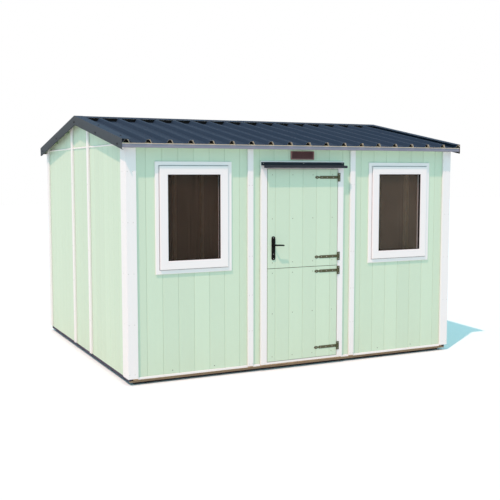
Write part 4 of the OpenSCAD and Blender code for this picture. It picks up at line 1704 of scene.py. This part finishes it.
@dataclass
class Window:
    """One window: casing, mitred sash with its glazing bead and gasket, and the pane.

    Sections are lists of (inset, Y) pairs, with the inset counted from the frame's outside. The
    pairs among the sizes are an inset and a depth of one point of a section.
    """

    name: str
    profile: Material
    rubber: Material
    glass: Material
    fit: float = 0.0005
    casing_arris: float = 0.003
    casing_lip: float = 0.006
    casing_bevel: tuple[float, float] = (0.0045, 0.002)
    casing_step: tuple[float, float] = (0.004, 0.0085)
    casing_seat: float = 0.009
    cover: float = 0.0075
    sash_arris: float = 0.004
    score: tuple[float, float, float] = (0.0200, 0.0194, 0.0188)
    score_depth: float = 0.0008
    bead_bevel: tuple[float, float] = (0.0050, 0.0045)
    rebate: float = 0.008
    glass_fit: float = 0.0006
    back_arris: float = 0.006
    gasket_insets: tuple[float, ...] = (-0.0008, 0.0014, 0.0020, 0.0060, -0.0008)
    gasket_lip: float = 0.0055
    gasket_face: float = 0.003

    def build(self) -> None:
        """Builds the window in place of its three construction nodes."""
        self.casing, self.sash, self.pane = (
            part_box(f"{self.name}_{part}") for part in ("casing", "sash", "pane")
        )
        low, high = self.sash
        self.centre = ((low.x + high.x) / 2, (low.z + high.z) / 2)
        self.bar = high.x - self.pane[1].x + self.cover
        self.casing_frame()
        self.sash_frame()
        self.gasket()
        glass = frame["nodes"][f"{self.name}_pane"]
        glass.data.materials.clear()
        glass.data.materials.append(self.glass)
        LOG.info("%s at x %.3f", self.name, self.centre[0])

    def casing_frame(self) -> None:
        """Adds the casing: a flat frame with a bevelled, stepped inner edge."""
        front, back = self.casing[0].y, self.casing[1].y
        inner = self.casing[1].x - self.sash[1].x - self.fit
        points = (self.casing_bevel, self.casing_step)
        inside = [(inner - inset, front + depth) for inset, depth in points]
        outside = [(0.0, back), (0.0, front + self.casing_arris), (self.casing_arris, front)]
        seat = [(inner, front + self.casing_seat), (inner, back)]
        section = [*outside, (inner - self.casing_lip, front), *inside, *seat]
        # painted shadow line at the casing's inner step
        self._profile("casing", self.casing, section, {4: 0.4, 5: 0.7, 6: 0.7})

    def sash_frame(self) -> None:
        """Adds the sash: bars with a scored line, a bevelled bead and a rebate for the pane."""
        front, back, bar = self.sash[0].y, self.sash[1].y, self.bar
        before = self.pane[0].y - self.glass_fit
        behind = self.pane[1].y + self.glass_fit
        bevel, arris, floor = self.bead_bevel, self.back_arris, bar - self.rebate
        score = zip(self.score, (front, front + self.score_depth, front))
        section = [(0.0, back), (0.0, front + self.sash_arris), (self.sash_arris, front)]
        section += [(bar - inset, depth) for inset, depth in score]
        section += [(bar - bevel[0], front), (bar, front + bevel[1]), (bar, before)]
        section += [(floor, before), (floor, behind), (bar, behind)]
        section += [(bar, back - arris), (bar - arris, back)]
        # painted shadow line at the sash's outer back corner and its scored line
        self._profile("sash", self.sash, section, {0: 0.15, 4: 0.1})

    def gasket(self) -> None:
        """Adds the black gasket that lines the opening from its lip to the pane."""
        lip = self.sash[0].y + self.gasket_lip
        pane = self.pane[0].y - self.glass_fit
        depths = (lip, lip, lip + self.gasket_face, pane, pane)
        section = [(self.bar + inset, depth) for inset, depth in zip(self.gasket_insets, depths)]
        piece = single(f"{self.name}_gasket", self._mitred(self.sash, section), self.rubber, 40)
        settle(piece, "root", "hood_black")

    def _profile(self, part: str, outside: Box, section: Sequence[tuple], dark: dict[int, float]) -> None:
        """Adds a mitred frame in place of its node.

        Args:
            part: the frame's name after the window's.
            outside: corners of the box that it fills.
            section: its section, as _mitred takes it.
            dark: share of shadow line by section point.
        """
        recess = np.zeros(len(section))
        recess[list(dark)] = list(dark.values())
        shape = Shape()
        shape.add(*self._mitred(outside, section), recess=np.tile(recess, 4))
        piece = shape.object(f"{self.name}_{part}_mitred", self.profile)
        settle(piece, "root", "window_white", f"{self.name}_{part}")

    def _mitred(self, outside: Box, section: Sequence[tuple]) -> Solid:
        """Makes a mitred frame: a section carried round a rectangle.

        At each corner, a section point lies at the half size less its inset, both across and up.

        Args:
            outside: the frame's box.
            section: its section.

        Returns:
            The points, and the list of face arrays.
        """
        inset, depth = np.array(section, float).T
        signs = np.array([[-1, -1], [1, -1], [1, 1], [-1, 1]], float)
        x = self.centre[0] + signs[:, :1] * (outside[1].x - self.centre[0] - inset)
        z = self.centre[1] + signs[:, 1:] * (outside[1].z - self.centre[1] - inset)
        rings = np.stack(np.broadcast_arrays(x, depth, z), axis=-1)
        return swept_solid(rings, closed=True)


# ---- Door ----


@dataclass
class DoorLeaf:
    """One leaf: boards in front, a frame of ledges and stiles and a brace behind.

    Joints and nail columns are counted from the leaf's left edge, and rows from the floor.
    """

    building: Building
    name: str
    boards: Material
    nails: Material
    nail_rows: Sequence[float]
    nail_columns: tuple[float, ...] = (0.051, 0.271, 0.493, 0.713)
    joints: tuple[float, ...] = (0.082, 0.234, 0.382, 0.533, 0.690)
    board: float = 0.018
    ledge: float = 0.095
    hair: float = 0.0004

    def build(self) -> None:
        """Builds the leaf in place of its construction node."""
        plan = self.building
        low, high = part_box(self.name)
        shape = Shape()
        work = Boarding(plan, self.boards, random=np.random.default_rng(len(self.name) * 7))
        edges = [low.x, *(low.x + joint for joint in self.joints), high.x]
        depths = {"base": low.y - plan.face_y, "thickness": self.board}
        work.run(shape, Side.FRONT, edges, low.z, lambda along, depth: high.z + 0 * along, **depths)
        self.back_frame(shape, low, high)
        piece = shape.object(f"{self.name}_boarded", self.boards)
        settle(piece, self.name, "mint_paint", self.name)
        dome = np.array([[0.0040, -0.0008], [0.0040, 0.0003], [0.0033, 0.0012], [0.0012, 0.0016]])
        columns = low.x + np.array(self.nail_columns)
        centres = on_front(columns, plan.floor_top + np.array(self.nail_rows), low.y)
        heads = single(f"{self.name}_nails", turned_heads(centres, FRONTWARD, dome, 10), self.nails, 60)
        settle(heads, self.name, "mint_paint")

    def back_frame(self, shape: Shape, low: Sequence[float], high: Sequence[float]) -> None:
        """Adds ledges, stiles and the brace behind the boards, clear of each other by a hair.

        Args:
            shape: what they are added to.
            low: the leaf's lowest corner.
            high: its highest corner.
        """
        width, gap = self.ledge, self.ledge + self.hair
        front, back = low[1] + self.board + self.hair, high[1]
        left, right = low[0] + gap, high[0] - gap
        foot, head = low[2] + gap, high[2] - gap
        lows = [(low[0], front, level) for level in (low[2], high[2] - width, foot)]
        lows.append((high[0] - width, front, foot))
        highs = [(high[0], back, level) for level in (low[2] + width, high[2], head)]
        highs.insert(2, (low[0] + width, back, head))
        marks = {"bare": 1.0, "tone": 0.2, "recess": 0.0}
        shape.add(*boxes(lows, highs), start=7.3, **marks)
        outline = np.array([[right, foot], [right, foot + width], [left, head], [left, head - width]])
        depth = np.array([[front], [back]])
        rings = np.stack(np.broadcast_arrays(outline[:, 0], depth, outline[:, 1]), axis=-1)
        shape.add(*swept_solid(rings), start=19.1, **marks)


@dataclass
class DoorFurniture:
    """Hinges, handle plate and lever with their screws.

    A profile is a list of (radius, height) pairs. Strap screws are counted from the strap's tip.
    """

    bronze: Material
    black: Material
    screw: Material
    hinge_ease: float = 0.0006
    plate_ease: float = 0.0016
    screw_radius: float = 0.0042
    screw_height: float = 0.0014
    strap_middle: float = 0.014
    strap_metal: float = 0.003
    strap_screws_at: tuple[float, ...] = (0.022, 0.075, 0.135, 0.205)
    hinge_screw_side: float = 0.013
    hinge_screw_spread: float = 0.027
    handle_screw: float = 0.014
    keyhole_drop: float = 0.055
    lever_foot: float = 0.012
    lever_radius: float = 0.009
    lever_turn: float = 0.016
    lever_straight: float = 0.004
    lever_wide: tuple[float, float] = (0.0085, 0.0070)
    lever_thick: tuple[float, float] = (0.0080, 0.0054)
    lever_droop: float = 0.004
    lever_round_from: float = 0.93

    def build(self) -> None:
        """Builds the furniture of both leaves."""
        for node in ("hinge_plates", "upper_leaf_straps", "lower_leaf_straps"):
            eased_copy(node, self.hinge_ease, self.bronze, 1)
        eased_copy("handle_plate", self.plate_ease, self.black, 3)
        for leaf in ("upper_leaf", "lower_leaf"):
            self.strap_screws(leaf)
        self.plate_screws()
        self.handle_screws()
        self.lock()
        self.lever()

    def _heads(self, name: str, centres: np.ndarray, body: str, slot: str) -> None:
        """Adds low screw heads that face the front.

        Args:
            name: the piece's name.
            centres: n by 3 places.
            body: the body they move with.
            slot: the material slot they take.
        """
        top = self.screw_height
        shares = np.array([[1.0, -0.0006], [1.0, 0.0003], [0.8, top], [0.25, top]])
        heads = turned_heads(centres, FRONTWARD, shares * (self.screw_radius, 1.0), 12)
        settle(single(name, heads, self.screw, 50), body, slot)

    def _strap_levels(self, leaf: str) -> np.ndarray:
        """Returns the middle levels of a leaf's two straps."""
        low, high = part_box(f"{leaf}_straps")
        return np.array([low.z + self.strap_middle, high.z - self.strap_middle])

    def strap_screws(self, leaf: str) -> None:
        """Four screws along each strap of a leaf.

        Args:
            leaf: the leaf's name.
        """
        low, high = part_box(f"{leaf}_straps")
        columns = low.x + np.array(self.strap_screws_at)
        centres = on_front(columns, self._strap_levels(leaf), high.y - self.strap_metal)
        self._heads(f"{leaf}_strap_screws", centres, leaf, "hinge_bronze")

    def plate_screws(self) -> None:
        """Two screws in each hinge plate, over and under its strap."""
        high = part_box("hinge_plates")[1]
        middles = np.concatenate([self._strap_levels(leaf) for leaf in ("upper_leaf", "lower_leaf")])
        levels = in_pairs(middles, self.hinge_screw_spread)
        centres = on_front(np.array([high.x - self.hinge_screw_side]), levels, high.y - self.strap_metal)
        self._heads("hinge_plate_screws", centres, "root", "hinge_bronze")

    def handle_screws(self) -> None:
        """Two screws in the handle plate's round ends."""
        low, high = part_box("handle_plate")
        levels = np.array([low.z + self.handle_screw, high.z - self.handle_screw])
        centres = on_front(np.array([(low.x + high.x) / 2]), levels, low.y)
        self._heads("handle_plate_screws", centres, "upper_leaf", "handle_black")

    def lock(self) -> None:
        """The lock's cylinder in the plate's keyhole, with its keyway."""
        low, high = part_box("handle_plate")
        face = np.array([(low.x + high.x) / 2, low.y, (low.z + high.z) / 2 - self.keyhole_drop])
        drum = np.array([[0.0043, -0.0028], [0.0043, -0.0006], [0.0036, 0.0]])
        cylinder = single("lock_cylinder", turned_heads(face, FRONTWARD, drum, 20), self.screw, 50)
        settle(cylinder, "upper_leaf", "handle_black")
        slot = np.array([[-0.0006, -0.0004, -0.0026], [0.0006, -0.00005, 0.0026]])
        keyway = single("lock_keyway", boxes(face + slot[0], face + slot[1]), self.black)
        settle(keyway, "upper_leaf", "handle_black")

    def lever(self) -> None:
        """The lever: a neck that turns into a flattened bar with a drooping, rounded end.

        The path goes straight out, round a quarter circle and along X; the section is an ellipse
        whose half sizes change along the path from the first of their pair to the second, and
        the end closes by shrinking as the root of 1 less the square of its share.
        """
        low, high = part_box("door_lever")
        neck_x, neck_z, foot = low.x + self.lever_foot, (low.z + high.z) / 2, high.y
        bar, turn, straight = low.y + self.lever_radius, self.lever_turn, self.lever_straight
        quarter = np.linspace(0, np.pi / 2, 9)
        out = np.array([[neck_x, foot], [neck_x, foot - straight], [neck_x, bar + turn + straight]])
        bend = np.stack([neck_x + turn * (1 - np.cos(quarter)), bar + turn * (1 - np.sin(quarter))], axis=1)
        along = np.linspace(neck_x + turn + 0.006, high.x - 0.0005, 14)
        path = np.concatenate([out, bend, np.stack([along, np.full(14, bar)], axis=1)])
        way = np.gradient(path, axis=0)
        way /= np.linalg.norm(way, axis=1)[:, None]
        share = np.clip((path[:, 0] - neck_x) / (high.x - neck_x), 0, 1)
        last = ((share - self.lever_round_from) / (1 - self.lever_round_from)).clip(0, 1)
        tip = np.sqrt(np.clip(1 - last**2, 0.0025, 1))
        wide = np.interp(share, (0, 1), self.lever_wide) * tip
        thick = np.interp(share, (0, 1), self.lever_thick) * tip
        level = neck_z - self.lever_droop * share**2
        angle = 2 * np.pi * np.arange(16) / 16
        ring_x = path[:, :1] + (way[:, 1] * thick)[:, None] * np.cos(angle)
        ring_y = path[:, 1:] - (way[:, 0] * thick)[:, None] * np.cos(angle)
        ring_z = level[:, None] + wide[:, None] * np.sin(angle)
        shape = Shape()
        shape.add(*swept_solid(np.stack([ring_x, ring_y, ring_z], axis=-1)))
        rose = np.array([[0.0125, 0.0], [0.0125, 0.004], [0.0112, 0.0062], [0.0088, 0.0066]])
        shape.add(*turned_heads([neck_x, foot, neck_z], FRONTWARD, rose, 32))
        piece = shape.object("door_lever_shaped", self.black, smooth=40)
        settle(piece, "lever", "handle_black", "door_lever")


@dataclass
class DoorFrame:
    """Posts, head, sill, drip hood and vent."""

    trim: Material
    hood: Material
    vent: Material
    screw: Material
    trim_ease: float = 0.002
    vent_ease: float = 0.0008
    flange: float = 0.034
    drop: float = 0.004
    metal: float = 0.0016
    fall: float = 0.003
    lip: float = 0.006
    bend: float = 0.004
    screw_side: float = 0.024
    screw_drop: float = 0.0153

    def build(self) -> None:
        """Builds the door's surround."""
        eased_copy("door_posts", self.trim_ease, self.trim)
        eased_copy("door_head_and_sill", self.trim_ease, self.trim)
        eased_copy("door_vent", self.vent_ease, self.vent, 1)
        self.drip_hood()
        self.hood_screws()

    def drip_hood(self) -> None:
        """The hood: one strip folded into a flange on the head, a shelf that falls a little and a lip."""
        low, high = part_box("door_hood")
        wall, shelf = high.y - self.metal, high.z - self.flange
        corners = [(wall, high.z - self.drop), (wall, shelf), (low.y, shelf - self.fall)]
        corners += [(low.y, low.z), (low.y + self.lip, low.z)]
        grids = folded_strip(corners, self.bend, 5, self.metal, np.linspace(low.x, high.x, 7))
        piece = single("door_hood_folded", grid_solid(*grids), self.hood, 40)
        settle(piece, "root", "hood_black", "door_hood")

    def hood_screws(self) -> None:
        """Three screws through the hood's flange."""
        low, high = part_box("door_hood")
        columns = np.array([low.x + self.screw_side, (low.x + high.x) / 2, high.x - self.screw_side])
        centres = on_front(columns, np.array([high.z - self.screw_drop]), high.y - self.metal)
        line = np.array([[0.0042, -0.0008], [0.0042, 0.0006], [0.003, 0.0018]])
        heads = single("door_hood_screws", turned_heads(centres, FRONTWARD, line, 12), self.screw, 50)
        settle(heads, "root", "hood_black")


# ---- Stage ----


@dataclass
class Stage:
    """Floor, light and camera."""

    lens: float = 60.62
    sensor: float = 36.0
    place: tuple[float, float, float] = (-4.041, -8.586, 1.8965)
    heading: float = -26.12
    tilt: float = -5.258
    sun_way: tuple[float, float, float] = (1.0, 0.72, -2.05)
    sun_strength: float = 2.75
    sun_spread: float = 0.9
    sun_colour: Colour = (1.0, 0.56, 0.46)
    sky_colour: Colour = (0.510, 0.820, 0.915)
    floor_half: float = 40.0
    floor_level: float = -0.0005
    floor_bounce: Colour = (0.764, 0.740, 0.717)
    floor_seen: Colour = (0.81, 0.92, 0.94)

    def build(self) -> None:
        """Builds the stage."""
        self.floor()
        self.sky()
        self.sun()
        self.camera()

    def floor(self) -> None:
        """A wide pale floor, just under the runners."""
        corners = np.array([[-1, -1], [1, -1], [1, 1], [-1, 1]]) * self.floor_half
        points = np.column_stack([corners, np.full(4, self.floor_level)])
        data = bpy.data.meshes.new("stage_floor")
        data.from_pydata(points.tolist(), [], [(0, 1, 2, 3)])
        tree = FinishTree("pale floor")
        seen = tree.node("ShaderNodeLightPath", {}, {}, "Is Camera Ray")
        tree.set(
            base_color=tree.mix(seen, self.floor_bounce, self.floor_seen),
            roughness=0.9,
            specular_ior_level=0.0,
        )
        data.materials.append(tree.material)
        place_object("stage_floor", data)

    def sky(self) -> None:
        """Even light from all round, white to the camera, in reflections and through panes."""
        world = bpy.data.worlds.new("studio")
        bpy.context.scene.world = world
        world.use_nodes = True
        nodes, links = world.node_tree.nodes, world.node_tree.links
        nodes.clear()
        light, white = (nodes.new("ShaderNodeBackground") for _ in range(2))
        light.inputs["Color"].default_value = (*self.sky_colour, 1.0)
        white.inputs["Color"].default_value = (1.0, 1.0, 1.0, 1.0)
        path = nodes.new("ShaderNodeLightPath")
        shown = path.outputs["Is Camera Ray"]
        for kind in ("Is Glossy Ray", "Is Transmission Ray"):
            either = nodes.new("ShaderNodeMath")
            either.operation = "MAXIMUM"
            links.new(shown, either.inputs[0])
            links.new(path.outputs[kind], either.inputs[1])
            shown = either.outputs[0]
        choose = nodes.new("ShaderNodeMixShader")
        output = nodes.new("ShaderNodeOutputWorld")
        ends = (shown, light.outputs[0], white.outputs[0])
        for end, port in zip(ends, choose.inputs):
            links.new(end, port)
        links.new(choose.outputs[0], output.inputs["Surface"])

    def sun(self) -> None:
        """A low, slightly soft sun from the front left."""
        light = bpy.data.lights.new("sun", "SUN")
        light.energy = self.sun_strength
        light.color = self.sun_colour
        light.angle = math.radians(self.sun_spread)
        way = np.array(self.sun_way) / np.linalg.norm(self.sun_way)
        turn = (math.acos(-way[2]), 0.0, math.atan2(way[1], way[0]) - math.pi / 2)
        place_object("sun", light).rotation_euler = turn

    def camera(self) -> None:
        """The camera, at eye level in front and to the left."""
        data = bpy.data.cameras.new("camera")
        data.sensor_width = self.sensor
        data.lens = self.lens
        data.clip_start, data.clip_end = 0.1, 200.0
        camera = place_object("camera", data)
        camera.location = self.place
        camera.rotation_euler = (math.radians(90 + self.tilt), 0.0, math.radians(self.heading))
        bpy.context.scene.camera = camera


def finishes(building: Building) -> dict[str, Material]:
    """Makes every finish, with the edges that trims, purlins and vent take from the building.

    Args:
        building: the building's planes.

    Returns:
        The materials by short name.
    """
    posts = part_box("door_posts")[0].y
    low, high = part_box("door_vent")
    middle = ((low.x + high.x) / 2, (low.z + high.z) / 2)
    half = (high.x - middle[0], high.z - middle[1])
    white, light, dark = tint(238, 239, 240), tint(246, 222, 184), tint(216, 184, 142)
    slate, grey, primer = tint(45, 62, 81), tint(76, 83, 88), tint(236, 226, 210)
    lavender, soot = tint(140, 142, 158), tint(46, 52, 60)
    steep, long_fall = (1.2, 14.0, 14.0), (14.0, 1.2, 1.2)
    laid = {
        "boards": PaintedBoards("satin pale green boards", tint(202, 225, 203), tint(184, 154, 126)),
        "trim": PaintedTrim("satin white trim", white, building.half_length, building.half_depth),
        "door trim": PaintedTrim("satin white door trim", white, 9.0, -posts, building.face_y - posts),
        "profile": WindowProfile("white window profile", tint(240, 240, 241)),
        "rubber": Rubber("black gasket", tint(24, 24, 26)),
        # painted light: the panes' warm colours stand in for the lit timber seen through them, the right one
        # lighter
        "left_window": PaneGlass("clear pane", tint(92, 76, 64), 0.15),
        "right_window": PaneGlass("lighter pane with painted interior light", tint(118, 106, 94), 0.18),
        "sheet": CoatedSteel("slate blue roof sheet", slate, primer, slate),
        # the verge's flat top takes a bluer colour than its upright face, as painted light
        "verge": CoatedSteel("dark grey verge flashing", grey, tint(70, 72, 76), tint(52, 70, 88), steep),
        # the pale backing also colours the eaves hem as a painted highlight
        "eaves": CoatedSteel("pale grey eaves trim", lavender, tint(226, 214, 196), lavender, long_fall),
        "fixing": SmallMetal("coated roofing screw", tint(44, 52, 62), tint(120, 124, 128)),
        "dark screw": Rubber("dark capped screw", tint(10, 12, 18)),
        "nails": SmallMetal("painted nail head", tint(206, 208, 206), tint(168, 166, 160), 0.1, 0.5),
        "board nails": SmallMetal("bare nail head", tint(116, 118, 96), tint(96, 92, 78), 0.1, 0.5),
        "zinc": SmallMetal("zinc screw", tint(176, 178, 176), tint(120, 116, 108), 0.7, 0.35),
        "bronze": SmallMetal("dark bronze hinge steel", tint(82, 86, 62), tint(122, 112, 78), 0.25, 0.42),
        "black": SmallMetal("black door furniture", tint(12, 13, 14), tint(40, 42, 44), 0.0, 0.5, 0.1),
        "hood": CoatedSteel("black coated hood", soot, tint(30, 32, 34), soot, long_fall, 0.12),
        # the vent's lighter rim colour is painted light
        "vent": LouvreVent("brown louvre vent", tint(150, 114, 112), tint(112, 80, 82), middle, half),
        **{way.name: Timber(f"framing {way.name.lower()}", light, dark, way) for way in Grain},
        "floor boards": Timber("floor boards", tint(204, 178, 144), tint(166, 138, 108), Grain.ALONG_Y),
        "bearers": Timber("floor bearers", tint(166, 142, 114), tint(128, 106, 84), Grain.ALONG_X, 0.2),
        # painted shade: end rails and runners take dark blue-grey colours standing in for the shade under
        # the floor
        "rails": Timber("floor end rails", tint(78, 78, 98), tint(54, 56, 76), Grain.ALONG_Y),
        "runners": Timber("floor runners", tint(50, 52, 68), tint(32, 36, 50), Grain.ALONG_X),
        # purlin ends outside the walls take the darkened green, painted shade under the verges
        "purlins": Timber("purlins", light, dark, Grain.ALONG_X, painted_from=-building.inner_x),
    }
    return {use: finish.make() for use, finish in laid.items()}


def main() -> None:
    """Builds the workshop's pieces in order."""
    logging.basicConfig(level=logging.INFO, format="%(name)s %(message)s")
    bpy.context.scene.view_settings.view_transform = "Standard"
    building = Building()
    made = finishes(building)
    boards, profile, rubber = made["boards"], made["profile"], made["rubber"]
    fixing, zinc = made["fixing"], made["zinc"]

    Stage().build()
    Floor(made["floor boards"], made["bearers"], made["rails"], made["runners"]).build()
    upright, lengthwise, crosswise = (made[way] for way in ("ALONG_Z", "ALONG_X", "ALONG_Y"))
    framing = {
        "wall_studs": upright,
        "long_wall_rails": lengthwise,
        "side_wall_rails": crosswise,
        "rafters": crosswise,
        "ridge_beam": lengthwise,
        "purlins": made["purlins"],
        "eaves_fillets": boards,
    }
    Members(framing).build()
    Walls(building, boards, profile, made["nails"], fixing).build()
    trims = ("corner_boards", "long_side_strips", "gable_strips", "base_trims")
    Members(dict.fromkeys(trims, made["trim"]), 0.0022, 2).build()
    Roof(building, made["sheet"], made["verge"], made["eaves"], fixing, made["dark screw"], rubber).build()
    for name in ("left_window", "right_window"):
        Window(name, profile, rubber, made[name]).build()
    DoorFrame(made["door trim"], made["hood"], made["vent"], zinc).build()
    DoorLeaf(building, "upper_leaf", boards, made["board nails"], (0.980, 1.399, 1.814)).build()
    DoorLeaf(building, "lower_leaf", boards, made["board nails"], (0.071, 0.489, 0.879)).build()
    DoorFurniture(made["bronze"], made["black"], zinc).build()


if __name__ == "__main__":
    main()
